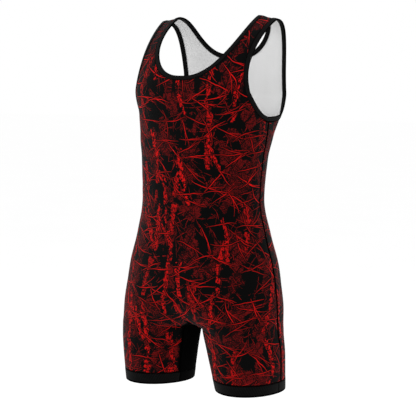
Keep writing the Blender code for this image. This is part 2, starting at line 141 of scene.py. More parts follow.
# Creases. A crease is a soft furrow (depth below 0) or ridge, placed on the flat
# map of its side: across from the centre line to the wearer's left, and level. It runs
# along a line that slants up to the left by its degrees, and bows to one side.
CREASE_COLUMNS = ("across", "level", "length", "width", "depth", "slant", "bow")
FRONT_CREASES = (
    (0.052, -0.590, 0.150, 0.0100, -0.0015, 38.0, 0.9),    # thigh crease, left
    (-0.056, -0.586, 0.165, 0.0110, -0.0016, -35.0, -0.8),  # thigh crease, right
    (0.070, -0.556, 0.100, 0.0080, -0.0009, 30.0, 0.6),
    (-0.085, -0.553, 0.120, 0.0095, -0.0008, -26.0, -0.5),
    (0.018, -0.585, 0.075, 0.0065, 0.0008, 62.0, 0.0),
    (-0.022, -0.590, 0.068, 0.0070, 0.0009, -66.0, 0.0),
    (0.105, -0.372, 0.110, 0.0105, -0.0009, 12.0, -1.2),    # waist
    (-0.110, -0.384, 0.095, 0.0090, -0.0010, -9.0, 1.4),
    (-0.128, -0.352, 0.070, 0.0075, -0.0007, -16.0, 1.0),
    (0.125, -0.405, 0.080, 0.0080, -0.0008, 5.0, -0.9),
    (0.104, -0.232, 0.090, 0.0085, -0.0010, 34.0, 1.0),     # from the armholes
    (-0.108, -0.240, 0.100, 0.0080, -0.0011, -38.0, -1.1),
    (0.060, -0.118, 0.085, 0.0070, -0.0006, 74.0, 0.7),     # up the straps
    (-0.064, -0.122, 0.080, 0.0075, -0.0007, -72.0, -0.6),
    (0.090, -0.700, 0.110, 0.0120, -0.0008, 80.0, -0.7),    # down the legs
    (-0.115, -0.690, 0.090, 0.0100, -0.0007, -84.0, 0.6),
)
BACK_CREASES = (
    (0.060, -0.372, 0.140, 0.0110, -0.0016, 6.0, 0.9),      # small of the back
    (-0.050, -0.388, 0.125, 0.0100, -0.0015, -8.0, 0.8),
    (0.075, -0.405, 0.105, 0.0085, -0.0010, 11.0, 0.6),
    (-0.082, -0.356, 0.090, 0.0080, -0.0011, -4.0, 0.7),
    (0.078, -0.628, 0.140, 0.0115, -0.0017, -12.0, 1.6),    # under the seat
    (-0.074, -0.622, 0.150, 0.0125, -0.0018, 14.0, 1.5),
    (0.105, -0.652, 0.090, 0.0085, -0.0009, -6.0, 1.0),
    (0.030, -0.565, 0.110, 0.0100, -0.0010, 64.0, -0.8),    # beside the centre of the seat
    (-0.034, -0.560, 0.120, 0.0110, -0.0011, -61.0, 0.9),
    (0.085, -0.245, 0.100, 0.0090, -0.0010, -30.0, -0.8),   # from the armholes
    (-0.090, -0.236, 0.085, 0.0080, -0.0009, 33.0, 0.9),
    (-0.110, -0.700, 0.095, 0.0105, -0.0007, 82.0, 0.6),    # down the legs
    (0.100, -0.705, 0.080, 0.0095, -0.0008, -80.0, -0.6),
)

# Mesh ---------------------------------------------------------------------------------------
LEG_ROWS = 35              # rows of a panel beside the inner-thigh panel
CENTRE_ROWS = 98           # from there up to the neck
NECK_ROWS = 84             # along the neckline
ARMHOLE_ROWS = 119         # along each side of an armhole
SIDE_ROWS = LEG_ROWS + CENTRE_ROWS + NECK_ROWS - ARMHOLE_ROWS   # rows that end on the side seam
PANEL_COLUMNS = 78
THIGH_ROWS = 21            # rows of the inner-thigh panel that end on the inside of the thigh
INNER_COLUMNS = 34
NEAR_SEAM = (0.0004, 0.0009, 0.0015, 0.0022, 0.0031, 0.0043, 0.0060)   # close columns by a seam
NEAR_RIDGE = (0.0006, 0.0013, 0.0022, 0.0036)
EDGE_STATIONS = 150        # sections of a binding along one edge curve
BINDING_ROWS = (0.0014, 0.0050)   # rows of stitches, back from a binding's raw edge
STITCH_LIFT = 0.0001       # height of the thread over what it is sewn on
DENSE = 260                # samples of a curve before it is spaced
RING_SAMPLES = 25          # samples of an arc that is measured
SAME_PLACE_DIGITS = 5      # points of a panel that agree to these digits of a metre are one
SHARP_DEGREES = 60.0       # from this angle between two faces their edge is drawn sharp
ON_CENTRE = 1e-6           # a point this near the middle, or nearer, lies on the centre line
FAR_OFF = 1.0              # marks the distance from a seam that isn't near


# The surface --------------------------------------------------------------------------------
def smooth_through(x, y, at):
    """A cubic through the points (x, y) that never overshoots them, read at other places.

    Between two points it is the cubic with a given slope at each, and that slope is the
    weighted harmonic mean of the slopes of the straight lines on both sides.
    """
    step = np.diff(x)
    slope = np.diff(y) / step
    weight_a, weight_b = 2 * step[1:] + step[:-1], step[1:] + 2 * step[:-1]
    same = slope[1:] * slope[:-1] > 0
    safe_a, safe_b = np.where(same, slope[:-1], 1.0), np.where(same, slope[1:], 1.0)
    inner = np.where(same, (weight_a + weight_b) / (weight_a / safe_a + weight_b / safe_b), 0.0)
    tangent = np.concatenate([slope[:1], inner, slope[-1:]])
    at = np.clip(at, x[0], x[-1])
    i = np.clip(np.searchsorted(x, at, side="right") - 1, 0, len(step) - 1)
    t = (at - x[i]) / step[i]
    return ((2 * t**3 - 3 * t**2 + 1) * y[i] + (t**3 - 2 * t**2 + t) * step[i] * tangent[i]
            + (3 * t**2 - 2 * t**3) * y[i + 1] + (t**3 - t**2) * step[i] * tangent[i + 1])


def ring_value(column, level):
    """A column of RINGS at any level, smooth through its rows."""
    rows = np.array(RINGS)[::-1]
    return smooth_through(rows[:, 0], rows[:, RING_COLUMNS.index(column)], level)


def crotch_turn(level):
    """How far the half ring has closed: 0 at the fork and 1 at the crotch.

    The way down from the fork and the sine of the centre line's angle lie on a superellipse
    of unit size, and this is the cosine that goes with that sine.
    """
    t = np.clip((FORK - level) / (FORK - CROTCH), 0.0, 1.0)
    closed = (1 - t**CROTCH_SQUARE) ** (2 / CROTCH_SQUARE)
    return np.sqrt(np.maximum(1 - closed, 0.0))


def centre_angle(level):
    """The angle of the centre line at a level above the crotch: its cosine is minus the turn."""
    return np.arccos(-crotch_turn(level))


def centre_level(angle):
    """The level at which the centre line under the fork has a given angle."""
    t = (1 - np.abs(np.sin(angle)) ** CROTCH_SQUARE) ** (1 / CROTCH_SQUARE)
    return FORK - t * (FORK - CROTCH)


def squared(angle, square):
    """Cosine and sine of a point on a superellipse of unit size, seen at the angle."""
    c, s = np.cos(angle), np.sin(angle)
    radius = (np.abs(c) ** square + np.abs(s) ** square) ** (1 / square)
    return c / radius, s / radius


def body(angle, level):
    """Points of the cloth's outer face, as an array with a last axis of x, y, z.

    Below the chest a level is a height, and the half ring is a superellipse from centre
    front to centre back. Under the fork the half ring closes round its leg. Above the chest
    the level turns a quarter of a circle up to the ridge: the ring's depth shrinks with its
    cosine, its height grows with its sine, and its middle leans over to the ridge at y = 0,
    while its squareness eases over to that of the straps.
    """
    angle, level = np.broadcast_arrays(np.asarray(angle, float), np.asarray(level, float))
    low = np.minimum(level, CHEST)
    width, centre = ring_value("half_width", low), ring_value("centre", low)
    behind = np.sin(angle) > 0
    depth = np.where(behind, ring_value("back", low), ring_value("front", low))
    square = np.where(behind, ring_value("back_square", low), ring_value("front_square", low))
    part = np.clip((level - CHEST) / (SHOULDER - CHEST), 0.0, 1.0)
    strap_square = np.where(behind, BACK_STRAP_SQUARE, FRONT_STRAP_SQUARE)
    square = square + (strap_square - square) * part**2 * (3 - 2 * part)
    c, s = squared(angle, square)

    soft = (CROTCH_SOFT_TOP - low) / (CROTCH_SOFT_TOP - FORK)
    soft = CROTCH_SOFT * np.clip(soft, CROTCH_SOFT_LEAST, 1.0)
    reach = np.sqrt(width**2 + soft**2) - soft
    gap = LEG_GAP * np.clip((CROTCH - low) / (CROTCH - HEM), 0.0, None) ** LEG_GAP_ARCH
    gap = np.sqrt(gap**2 + soft**2) - soft
    turn = crotch_turn(low)
    leg = low < CROTCH
    radius = np.where(leg, (reach - gap) / 2, reach / (1 + turn))
    middle = np.where(leg, (reach + gap) / 2, turn * radius)
    across = middle + radius * c
    x = np.sqrt(np.maximum((across + soft) ** 2 - soft**2, 0.0))
    x = np.where(across < -ON_CENTRE / 1000, -x, x)

    arch = np.where(behind, BACK_ARCH, FRONT_ARCH)
    shrink, rise = squared(part * np.pi / 2, arch)
    out = np.hypot(x, RIDGE_ROUND) - np.hypot(RIDGE_NECK_X, RIDGE_ROUND)
    ridge = SHOULDER - RIDGE_DROP * out / (RIDGE_ARM_X - RIDGE_NECK_X)
    y = centre + depth * s * shrink - centre * rise**ARCH_LEAN
    z = np.where(level > CHEST, CHEST + rise * (ridge - CHEST), level)
    return np.stack([x, y, z], -1)


def slopes(angle, level):
    """Change of a body point with the angle and with the level.

    Each is the difference of two points a small way apart, taken a few such ways inside the
    edges, where the surface has no corner.
    """
    small_angle, small_level, ways_inside = 1e-3, 1e-4, 5
    inside = np.where(np.sin(angle) > 0, -1.0, 1.0) * small_angle
    angle = angle + ways_inside * inside
    level = np.minimum(level, SHOULDER - small_level)
    by_angle = (body(angle + inside, level) - body(angle, level)) / inside[..., None]
    by_level = (body(angle, level + small_level) - body(angle, level - small_level))
    return by_angle, by_level / (2 * small_level)


def outward(angle, level):
    """Unit vectors square to the cloth, pointing away from the body."""
    by_angle, by_level = slopes(angle, level)
    normal = np.cross(by_angle, by_level)
    on_centre = body(angle, level)[..., 0] < ON_CENTRE
    normal[..., 0] = np.where(on_centre, 0.0, normal[..., 0])
    return normal / np.linalg.norm(normal, axis=-1, keepdims=True)


def spread(total, count, near_start=(), near_end=()):
    """Distances along lines of given lengths: fixed ones near the ends and even ones between."""
    total = np.asarray(total, float)[..., None]
    start = np.array((0.0,) + tuple(near_start))
    end = np.array((0.0,) + tuple(near_end))[::-1]
    middle = np.linspace(0.0, 1.0, count + 1 - (len(start) - 1) - (len(end) - 1))[1:-1]
    even = start[-1] + (total - start[-1] - end[0]) * middle
    return np.concatenate([np.broadcast_to(start, total.shape[:-1] + start.shape), even, total - end], -1)


def read_rows(at, along, value):
    """Each row's value at its own distances, where both grow along the row.

    All rows are read as one: each is moved past the one before by more than any length.
    """
    shift = np.arange(len(along))[:, None] * (along.max() + 1.0)
    return np.interp((at + shift).ravel(), (along + shift).ravel(), value.ravel()).reshape(at.shape)


def run_lengths(points):
    """Distance along each line of points from its first one; the points' last axis is xyz."""
    length = np.linalg.norm(np.diff(points, axis=-2), axis=-1)
    return np.concatenate([np.zeros(length.shape[:-1] + (1,)), np.cumsum(length, -1)], -1)


def spaced(angle, level, count, near_end=()):
    """A curve on the body, given densely, as count + 1 points spaced along it."""
    along = run_lengths(body(angle, level))
    at = spread(along[-1], count, (), near_end)
    return np.interp(at, along, angle), np.interp(at, along, level)


def rows_between(start, end, count, near_start, near_end):
    """Rows from one edge to another, straight in angle and level, and spaced along the cloth.

    Returns the angles, the levels, and each point's distance from its row's two ends.
    """
    t = np.linspace(0.0, 1.0, DENSE)
    angle = start[0][:, None] + (end[0] - start[0])[:, None] * t
    level = start[1][:, None] + (end[1] - start[1])[:, None] * t
    along = run_lengths(body(angle, level))
    at = spread(along[:, -1], count, near_start, near_end)
    part = read_rows(at, along, np.broadcast_to(t, along.shape))
    angle = start[0][:, None] + (end[0] - start[0])[:, None] * part
    level = start[1][:, None] + (end[1] - start[1])[:, None] * part
    return angle, level, at, along[:, -1:] - at


def walk(angle, level, distance, side, start_flat, end_flat):
    """Step off a curve on the body, square to it and within the cloth.

    side is +1 or -1. start_flat and end_flat name the axis along which the first and the
    last point may not move, so that neighbouring pieces keep a common end.
    """
    steps = 4
    points = body(angle, level)
    tangent = np.gradient(points, run_lengths(points), axis=0)
    heading = side * np.cross(outward(angle, level), tangent)
    heading[0, "xyz".index(start_flat)] = 0.0
    heading[-1, "xyz".index(end_flat)] = 0.0
    heading /= np.linalg.norm(heading, axis=1, keepdims=True)
    for _ in range(steps):
        by_angle, by_level = slopes(angle, level)
        aa, ab, bb = [np.sum(p * q, axis=1) for p, q in
                      ((by_angle, by_angle), (by_angle, by_level), (by_level, by_level))]
        ha, hb = np.sum(heading * by_angle, axis=1), np.sum(heading * by_level, axis=1)
        scale = distance / steps / (aa * bb - ab * ab)
        angle = angle + scale * (ha * bb - hb * ab)
        level = level + scale * (hb * aa - ha * ab)
    return angle, level


# The edges, each as a pair of arrays: angle and level ---------------------------------------
def ridge_angle(x, side):
    """Angle at which the superellipse of the ridge lies x out from the middle."""
    square = BACK_STRAP_SQUARE if side > 0 else FRONT_STRAP_SQUARE
    across = x / ring_value("half_width", CHEST)
    return side * np.arctan((across**-square - 1) ** (1 / square))


def neck_edge(side, count, near_ridge=()):
    """Neckline from the centre line to the ridge: a quarter of a superellipse."""
    bottom, square = FRONT_NECK if side < 0 else BACK_NECK
    across, down = squared(np.linspace(np.pi / 2, 0.0, DENSE), square)
    half = np.pi / 2 - abs(ridge_angle(RIDGE_NECK_X, side))
    angle = side * (np.pi / 2 - half * np.clip(across, 0.0, 1.0))
    level = SHOULDER - (SHOULDER - bottom) * np.clip(down, 0.0, 1.0)
    return spaced(angle, level, count, near_ridge)


def armhole_edge(side, count, near_ridge=()):
    """Armhole from its bottom on the side seam to the ridge.

    Below its widest level it is a quarter of a superellipse; above, its angle eases to that
    of the strap top.
    """
    widest_level, widest_degrees, square, ease = FRONT_ARMHOLE if side < 0 else BACK_ARMHOLE
    widest = np.radians(widest_degrees)
    across, down = squared(np.linspace(np.pi / 2, 0.0, DENSE), square)
    low_angle = widest * np.clip(across, 0.0, 1.0)
    low_level = widest_level - (widest_level - ARMHOLE_BOTTOM) * np.clip(down, 0.0, 1.0)
    t = np.linspace(0.0, 1.0, DENSE)[1:]
    high_angle = widest - (widest - abs(ridge_angle(RIDGE_ARM_X, side))) * t**ease
    high_level = widest_level + (SHOULDER - widest_level) * t
    angle = side * np.concatenate([low_angle, high_angle])
    return spaced(angle, np.concatenate([low_level, high_level]), count, near_ridge)


def inner_seam(level):
    """Front seam of the inner-thigh panel at given levels, up to its peak.

    The root of its distance in cosine from the centre line is what runs smoothly through
    the rows, because a point's x near the centre line grows with that root.
    """
    rows = np.array(INNER_SEAM)
    root = np.sqrt(np.cos(np.radians(rows[:, 1])) + crotch_turn(rows[:, 0]))
    root = smooth_through(np.append(rows[:, 0], INNER_SEAM_PEAK), np.append(root, 0.0), level)
    return -np.arccos(root**2 - crotch_turn(level)), level


def seam_levels():
    """Levels of the rows that meet the thigh seam: below the crotch, then up to the peak."""
    low = BAND_TOP + spread(SEAM_TURN - BAND_TOP, THIGH_ROWS, NEAR_SEAM)
    high = np.linspace(SEAM_TURN, INNER_SEAM_PEAK, LEG_ROWS - THIGH_ROWS + 1)
    return np.concatenate([low, high[1:]])


# The flat map and what is drawn on it -------------------------------------------------------
def arc_from_side(angle, level):
    """Length of the ring from the side seam to each angle, at the point's own level."""
    t = np.linspace(0.0, 1.0, RING_SAMPLES)
    points = body(angle[..., None] * t, level[..., None])
    return run_lengths(points)[..., -1]


def map_across(angle, level):
    """Distance on the cloth from the centre line; below the crotch, from where it would be."""
    table_level = np.linspace(INNER_SEAM_PEAK, SHOULDER, DENSE)
    side = np.where(np.sin(angle) > 0, BACK, FRONT)
    low = np.maximum(level, INNER_SEAM_PEAK)
    halves = [arc_from_side(turn * centre_angle(table_level), table_level) for turn in (FRONT, BACK)]
    half = np.where(side == FRONT, *[np.interp(low, table_level, h) for h in halves])
    return half - arc_from_side(angle, level)


def creases(side, across, level, strength):
    """Height of the creases: along each, a bell across it times a hump along it, all added."""
    height = np.zeros(np.broadcast(across, level).shape)
    for row in (FRONT_CREASES if side < 0 else BACK_CREASES):
        crease = dict(zip(CREASE_COLUMNS, row))
        turn = np.radians(crease["slant"])
        x, z = across - crease["across"], level - crease["level"]
        along = x * np.cos(turn) + z * np.sin(turn)
        off = z * np.cos(turn) - x * np.sin(turn) - crease["bow"] * along**2
        hump = np.clip(1 - (2 * along / crease["length"]) ** 2, 0.0, None) ** 2
        height += crease["depth"] * hump * np.exp(-(off / crease["width"]) ** 2)
    return strength * height


def furrow(distance, depth, width):
    """The dip of the cloth towards a seam: a bell of the distance from it."""
    return -depth * np.exp(-(distance / width) ** 2)


# Meshes -------------------------------------------------------------------------------------
def put_mesh(name, points, quads, cloths, cloth_of_quad, corner_map, marks=None):
    """Put quads in the scene as a smooth mesh that sits at the origin.

    A quad with two equal corners becomes a triangle, and one with fewer left is dropped.
    corner_map is the flat map's place at each corner of each quad, in metres. marks are
    further values at each point, by name, with three numbers each.
    """
    keep = quads != np.roll(quads, -1, axis=1)
    whole = keep.sum(1) > 2
    keep, quads, corner_map, cloth_of_quad = [
        part[whole] for part in (keep, quads, corner_map, cloth_of_quad)]
    corners = keep.sum(1)
    mesh = bpy.data.meshes.new(name)
    mesh.vertices.add(len(points))
    mesh.vertices.foreach_set("co", points.astype(np.float32).ravel())
    mesh.loops.add(int(corners.sum()))
    mesh.loops.foreach_set("vertex_index", quads[keep].astype(np.int32))
    mesh.polygons.add(len(quads))
    mesh.polygons.foreach_set("loop_start", (np.cumsum(corners) - corners).astype(np.int32))
    mesh.polygons.foreach_set("material_index", cloth_of_quad.astype(np.int32))
    for cloth in cloths:
        mesh.materials.append(cloth)
    flat = mesh.uv_layers.new(name="flat_map")
    flat.data.foreach_set("uv", corner_map[keep].astype(np.float32).ravel())
    for mark, values in (marks or {}).items():
        layer = mesh.attributes.new(mark, "FLOAT_VECTOR", "POINT")
        layer.data.foreach_set("vector", values.astype(np.float32).ravel())
    mesh.update(calc_edges=True)
    mesh.shade_smooth()
    mesh.set_sharp_from_angle(angle=np.radians(SHARP_DEGREES))
    if mesh.validate():
        raise RuntimeError(name + " has faces that Blender had to mend")
    piece = bpy.data.objects.new(name, mesh)
    bpy.context.scene.collection.objects.link(piece)
    return piece


def patch(grid, hand, side, sizes):
    """One grid of panel points as arrays: base points, height over them, map and seam marks.

    The height is that of the creases and of the dip at the nearest of the side seam, the
    thigh seam, the hem and the shoulder seam.
    """
    angle, level, keep, marks = grid
    across = hand * map_across(angle, level)
    height = creases(side, across, level, sizes.creases)
    height += furrow(marks.min(-1), sizes.seam_dip, sizes.seam_width)
    turned = (hand, 1.0, 1.0)
    index = np.arange(angle.size).reshape(angle.shape)
    cells = np.stack([index[:-1, :-1], index[:-1, 1:], index[1:, 1:], index[1:, :-1]], -1)[keep]
    base, out = body(angle, level) * turned, outward(angle, level) * turned
    if hand * side > 0:
        cells = cells[:, ::-1]
    return {
        "base": base.reshape(-1, 3), "out": out.reshape(-1, 3), "height": height.reshape(-1, 1),
        "map": np.stack([across, level], -1).reshape(-1, 2), "marks": marks.reshape(-1, 3),
        "cells": cells,
    }


def wall(name, patches, thickness, outer_cloth, inner_cloth, map_shift):
    """Sew patches into one wall of cloth: outer face, inner face, and a rim round every edge.

    Patches join where their base points meet. An edge is on the rim if no cell runs along it
    the other way.
    """
    start = np.cumsum([0] + [len(p["base"]) for p in patches])
    cells = np.concatenate([p["cells"] + first for p, first in zip(patches, start)])
    base, out, height, flat, marks = [np.concatenate([p[key] for p in patches])
                                      for key in ("base", "out", "height", "map", "marks")]
    place = np.round(base, SAME_PLACE_DIGITS)
    _, first, same = np.unique(place, axis=0, return_index=True, return_inverse=True)
    corner_map = flat[cells]
    cells = same.reshape(-1)[cells]
    base, out, height, flat, marks = [part[first] for part in (base, out, height, flat, marks)]
    outer = base + height * out
    inner = outer - thickness * out
    count = len(base)
    a, b = cells.ravel(), np.roll(cells, -1, axis=1).ravel()
    rim = (a != b) & ~np.isin(a * count + b, b * count + a)
    a, b = a[rim], b[rim]
    quads = np.concatenate([cells, cells[:, ::-1] + count, np.stack([b, a, a + count, b + count], -1)])
    corner_map = np.concatenate([corner_map, corner_map[:, ::-1], flat[np.stack([b, a, a, b], -1)]])
    cloth_of_quad = np.repeat([0, 1, 0], [len(cells), len(cells), len(a)])
    used, quads = np.unique(quads, return_inverse=True)
    points, marks = np.concatenate([outer, inner])[used], np.concatenate([marks, marks])[used]
    return put_mesh(name, points, quads.reshape(-1, 4), (outer_cloth, inner_cloth), cloth_of_quad,
                    corner_map + map_shift, {"seams": marks})


def loop_mesh(name, sections, cloth, marks=None):
    """Join closed profiles into a closed ring. sections has axes station, profile point, xyz.

    The map runs round the profile and along the ring, in metres.
    """
    stations, around = sections.shape[:2]
    i, j = np.meshgrid(np.arange(stations), np.arange(around), indexing="ij")
    corner_i = np.stack([i, i + 1, i + 1, i], -1).reshape(-1, 4)
    corner_j = np.stack([j, j, j + 1, j + 1], -1).reshape(-1, 4)
    quads = (corner_i % stations) * around + corner_j % around
    closed = np.concatenate([sections, sections[:1]])
    profile = np.concatenate([sections[0], sections[0, :1]])
    along = run_lengths(closed.mean(1))
    corner_map = np.stack([run_lengths(profile)[corner_j], along[corner_i]], -1)
    points = sections.reshape(-1, 3)
    a, b, c, d = [points[quads[:, k]] for k in range(4)]
    if np.sum(a * np.cross(b, c) + a * np.cross(c, d)) < 0:
        quads, corner_map = quads[:, ::-1], corner_map[:, ::-1]
    return put_mesh(name, points, quads, (cloth,), np.zeros(len(quads), int), corner_map, marks)


def stitches(name, runs, pitch, thread, cloth):
    """Rows of short stitches joined in one mesh.

    A run is points along the cloth and unit vectors out of it. Every pitch along the run
    lies one stitch: a six-sided tube two thirds of a pitch long whose middle line rises as
    half a sine over the cloth, and whose radius grows and shrinks as the root of a sine.
    """
    sides, rings, length, rise, blunt = 6, 5, 0.68, 0.5, 0.06
    points, quads, count = [], [], 0
    for line, out in runs:
        along = run_lengths(line)
        centre = np.arange(pitch / 2, along[-1] - pitch / 2, pitch)
        t = np.linspace(0.0, 1.0, rings)
        at = centre[:, None] + (t - 0.5) * pitch * length
        middle = np.stack([np.interp(at, along, line[:, k]) for k in range(3)], -1)
        up = np.stack([np.interp(at, along, out[:, k]) for k in range(3)], -1)
        way = np.gradient(middle, axis=1)
        way /= np.linalg.norm(way, axis=-1, keepdims=True)
        across = np.cross(way, up)
        radius = thread * np.sqrt(np.sin(np.pi * (blunt + (1 - 2 * blunt) * t)))
        middle = middle + up * (thread * rise * np.sin(np.pi * t))[:, None]
        turn = np.arange(sides) * 2 * np.pi / sides
        ring = (across[:, :, None] * np.cos(turn)[:, None] + up[:, :, None] * np.sin(turn)[:, None])
        tube = middle[:, :, None] + radius[:, None, None] * ring
        start = np.arange(len(centre))[:, None, None] * rings * sides + count
        i, j = np.meshgrid(np.arange(rings - 1) * sides, np.arange(sides), indexing="ij")
        k = (j + 1) % sides
        wrap = np.stack([i + j, i + k, i + sides + k, i + sides + j], -1).reshape(-1, 4)
        last = (rings - 1) * sides
        caps = np.array([[3, 2, 1, 0], [0, 5, 4, 3], [last, last + 1, last + 2, last + 3],
                         [last + 3, last + 4, last + 5, last]])
        quads.append((start + np.concatenate([wrap, caps])).reshape(-1, 4))
        points.append(tube.reshape(-1, 3))
        count += tube.size // 3
    points, quads = np.concatenate(points), np.concatenate(quads)
    corner_map = points[quads][..., [0, 2]]
    return put_mesh(name, points, quads, (cloth,), np.zeros(len(quads), int), corner_map)


# Shader maths -------------------------------------------------------------------------------
MILLIMETRES = 1000.0       # in a metre


def math_operator(operation, turned=False):
    """A method of Value that adds one Math node; turned, it is the form with Value second."""
    def method(value, *others):
        terms = (value,) + others
        return value.dye.math(operation, *(terms[::-1] if turned else terms))
    return method


class Value:
    """A number at each point of a surface: a node's socket. Arithmetic adds Math nodes."""

    def __init__(self, dye, socket):
        self.dye, self.socket = dye, socket

    __add__ = math_operator("ADD")
    __radd__ = math_operator("ADD", turned=True)
    __sub__ = math_operator("SUBTRACT")
    __rsub__ = math_operator("SUBTRACT", turned=True)
    __mul__ = math_operator("MULTIPLY")
    __rmul__ = math_operator("MULTIPLY", turned=True)
    __truediv__ = math_operator("DIVIDE")
    __gt__ = math_operator("GREATER_THAN")
    __lt__ = math_operator("LESS_THAN")
    __abs__ = math_operator("ABSOLUTE")


class Dye:
    """A material that is being mixed: its nodes, and the maths that adds them."""

    def __init__(self, name):
        self.material = bpy.data.materials.new(name)
        self.material.use_nodes = True
        self.tree = self.material.node_tree
        self.shader = self.tree.nodes["Principled BSDF"]

    def node(self, kind, settings=None, sockets=None, output=0):
        """Add a node: its settings, then its sockets' numbers or links; gives one output."""
        made = self.tree.nodes.new(kind)
        for name, value in (settings or {}).items():
            setattr(made, name, value)
        self.fill(made, sockets or {})
        return Value(self, made.outputs[output])

    def fill(self, made, sockets):
        """Link or set the given sockets of a node."""
        for name, value in sockets.items():
            if isinstance(value, Value):
                self.tree.links.new(value.socket, made.inputs[name])
            else:
                made.inputs[name].default_value = value

    def finish(self, **sockets):
        """Fill the shader's sockets, named with _ for spaces, and give the material."""
        self.fill(self.shader, {name.replace("_", " "): value for name, value in sockets.items()})
        return self.material

    def darken(self, factor, colour):
        """Mix in cloth of a colour that has no gloss, by a factor, and give the material."""
        matt = self.node("ShaderNodeBsdfPrincipled", None,
                         {"Base Color": colour, "Roughness": 0.9, "Specular IOR Level": 0.0})
        mixed = self.node("ShaderNodeMixShader", None,
                          {0: factor, 1: Value(self, self.shader.outputs[0]), 2: matt})
        self.tree.links.new(mixed.socket, self.tree.nodes["Material Output"].inputs["Surface"])
        return self.material

    def math(self, operation, *values):
        """What a Math node makes of the values."""
        return self.node("ShaderNodeMath", {"operation": operation}, dict(enumerate(values)))

    def floor(self, value):
        """The whole number at or below a value."""
        return self.math("FLOOR", value)

    def largest(self, first, second):
        """The greater of two values."""
        return self.math("MAXIMUM", first, second)

    def step(self, value, low, high):
        """0 below low, 1 above high and a smooth rise between; low may be the greater."""
        return self.node("ShaderNodeMapRange", {"interpolation_type": "SMOOTHSTEP"},
                         {"Value": value, "From Min": low, "From Max": high})

    def mix(self, factor, first, second):
        """A colour between two others."""
        return self.node("ShaderNodeMix", {"data_type": "RGBA"}, {0: factor, 6: first, 7: second}, 2)

    def place(self, x, y, z=0.0):
        """A vector of three numbers."""
        return self.node("ShaderNodeCombineXYZ", None, {0: x, 1: y, 2: z})

    def parts(self, vector):
        """The three numbers of a vector."""
        split = self.node("ShaderNodeSeparateXYZ", None, {0: vector}).socket.node
        return [Value(self, socket) for socket in split.outputs]

    def flat_map(self):
        """Place on the flat map, across and along, in millimetres."""
        across, along, _ = self.parts(self.node("ShaderNodeUVMap", {"uv_map": "flat_map"}))
        return across * MILLIMETRES, along * MILLIMETRES

    def seams(self):
        """Distances from the side seam, the thigh seam and the hem, in millimetres."""
        mark = self.node("ShaderNodeAttribute", {"attribute_name": "seams"}, None, 1)
        return [distance * MILLIMETRES for distance in self.parts(mark)]

    def noise(self, x, y, size_x, size_y, seed, detail=2.0, rough=0.5):
        """Smooth noise whose grains have a given size across and along."""
        return self.node("ShaderNodeTexNoise", None,
                         {"Vector": self.place(x / size_x, y / size_y, seed), "Scale": 1.0,
                          "Detail": detail, "Roughness": rough})

    def wander(self, x, y, size, reach, seeds, **grain):
        """Numbers that drift by half a reach both ways, over grains of a size; one for a seed."""
        return [(self.noise(x, y, size, size, seed, **grain) - 0.5) * reach for seed in seeds]

    def chance(self, x, y, seed):
        """Three random numbers for each whole x and y."""
        place = self.place(x, y, seed)
        return self.parts(self.node("ShaderNodeTexWhiteNoise", None, {"Vector": place}, 1))

    def cells(self, x, y, seed):
        """Three random numbers for each cell of an uneven honeycomb about one unit wide."""
        place = self.place(x, y, seed)
        return self.parts(self.node("ShaderNodeTexVoronoi", None, {"Vector": place, "Scale": 1.0}, 1))

    def bump(self, height, distance):
        """Normals of a surface raised by a height times a distance in metres."""
        return self.node("ShaderNodeBump", None, {"Height": height, "Distance": distance})


# Print --------------------------------------------------------------------------------------
BACK_PRINT_SHIFT = (0.83, 0.31)   # moves the flat map, so that the back doesn't repeat the front
# Layers of twigs, from the back of the print to the front. Sizes are millimetres, and shade
# goes from 0, the leaf colour, to 1, the brightest.
TWIG_COLUMNS = ("degrees", "cell_length", "cell_width", "thickness", "taper", "bend", "share", "shade")
FINE_TWIGS = (
    (64.0, 46.0, 24.0, 0.95, 1.0, 1.3, 0.52, 0.15),
    (-38.0, 42.0, 22.0, 0.90, 1.0, 1.3, 0.52, 0.25),
    (16.0, 50.0, 25.0, 0.95, 1.0, 1.3, 0.56, 0.30),
    (-74.0, 38.0, 21.0, 0.85, 1.0, 1.3, 0.48, 0.10),
)
LONG_TWIGS = (
    (-21.0, 74.0, 40.0, 1.30, 1.0, 1.2, 0.50, 0.75),
    (33.0, 66.0, 42.0, 1.20, 1.0, 1.2, 0.46, 0.60),
    (-56.0, 60.0, 44.0, 1.30, 1.0, 1.2, 0.42, 0.80),
    (4.0, 68.0, 38.0, 1.15, 1.0, 1.1, 0.48, 0.90),
)
TRUNKS = (
    (85.0, 118.0, 56.0, 10.0, 0.35, 0.45, 0.60, 0.5),
    (99.0, 92.0, 62.0, 9.0, 0.45, 0.60, 0.58, 0.9),
)
DARK_TWIGS = (
    (48.0, 52.0, 20.0, 2.2, 1.0, 1.3, 0.75, 0.0),
    (-52.0, 48.0, 22.0, 1.8, 1.0, 1.3, 0.80, 0.0),
    (12.0, 36.0, 13.0, 1.1, 1.0, 1.5, 0.80, 0.0),
)
# A twig in its brick, in shares of the brick.
TWIG_STRAY = 0.36          # how far its middle line strays to the sides
TWIG_SLOPE = 0.7           # how steeply it may run, for a bend of one
TWIG_FULL = 0.62           # its thickness in the middle, before the taper
BRANCH_AT = 0.5            # how much of the brick a branch may start in
BRANCH_BEND = 1.85         # its slope, for the twig's bend
BRANCH_FULL = 0.6          # its thickness, for the twig's
BRICK_EDGE = (0.5, 0.47)   # where a twig fades out
RANDOM_SHADE = 0.6         # share of a twig's brightness that is random
FINE_GAP = 0.9             # how fully the gap beside a fine twig hides what lies behind
FINE_BRIGHT = 0.5          # how bright a fine twig is, for its strength
BARK_BRIGHT = (0.55, 0.35)   # how bright bark is: a part by its strength, and a fixed part
LONG_COVER = (0.75, 0.25)    # how fully a long twig covers, in the same two parts
# Blurs of edges, in millimetres from outside to inside.
TWIG_EDGE = (0.25, -0.25)
BESIDE_TWIG = (2.1, 1.3)
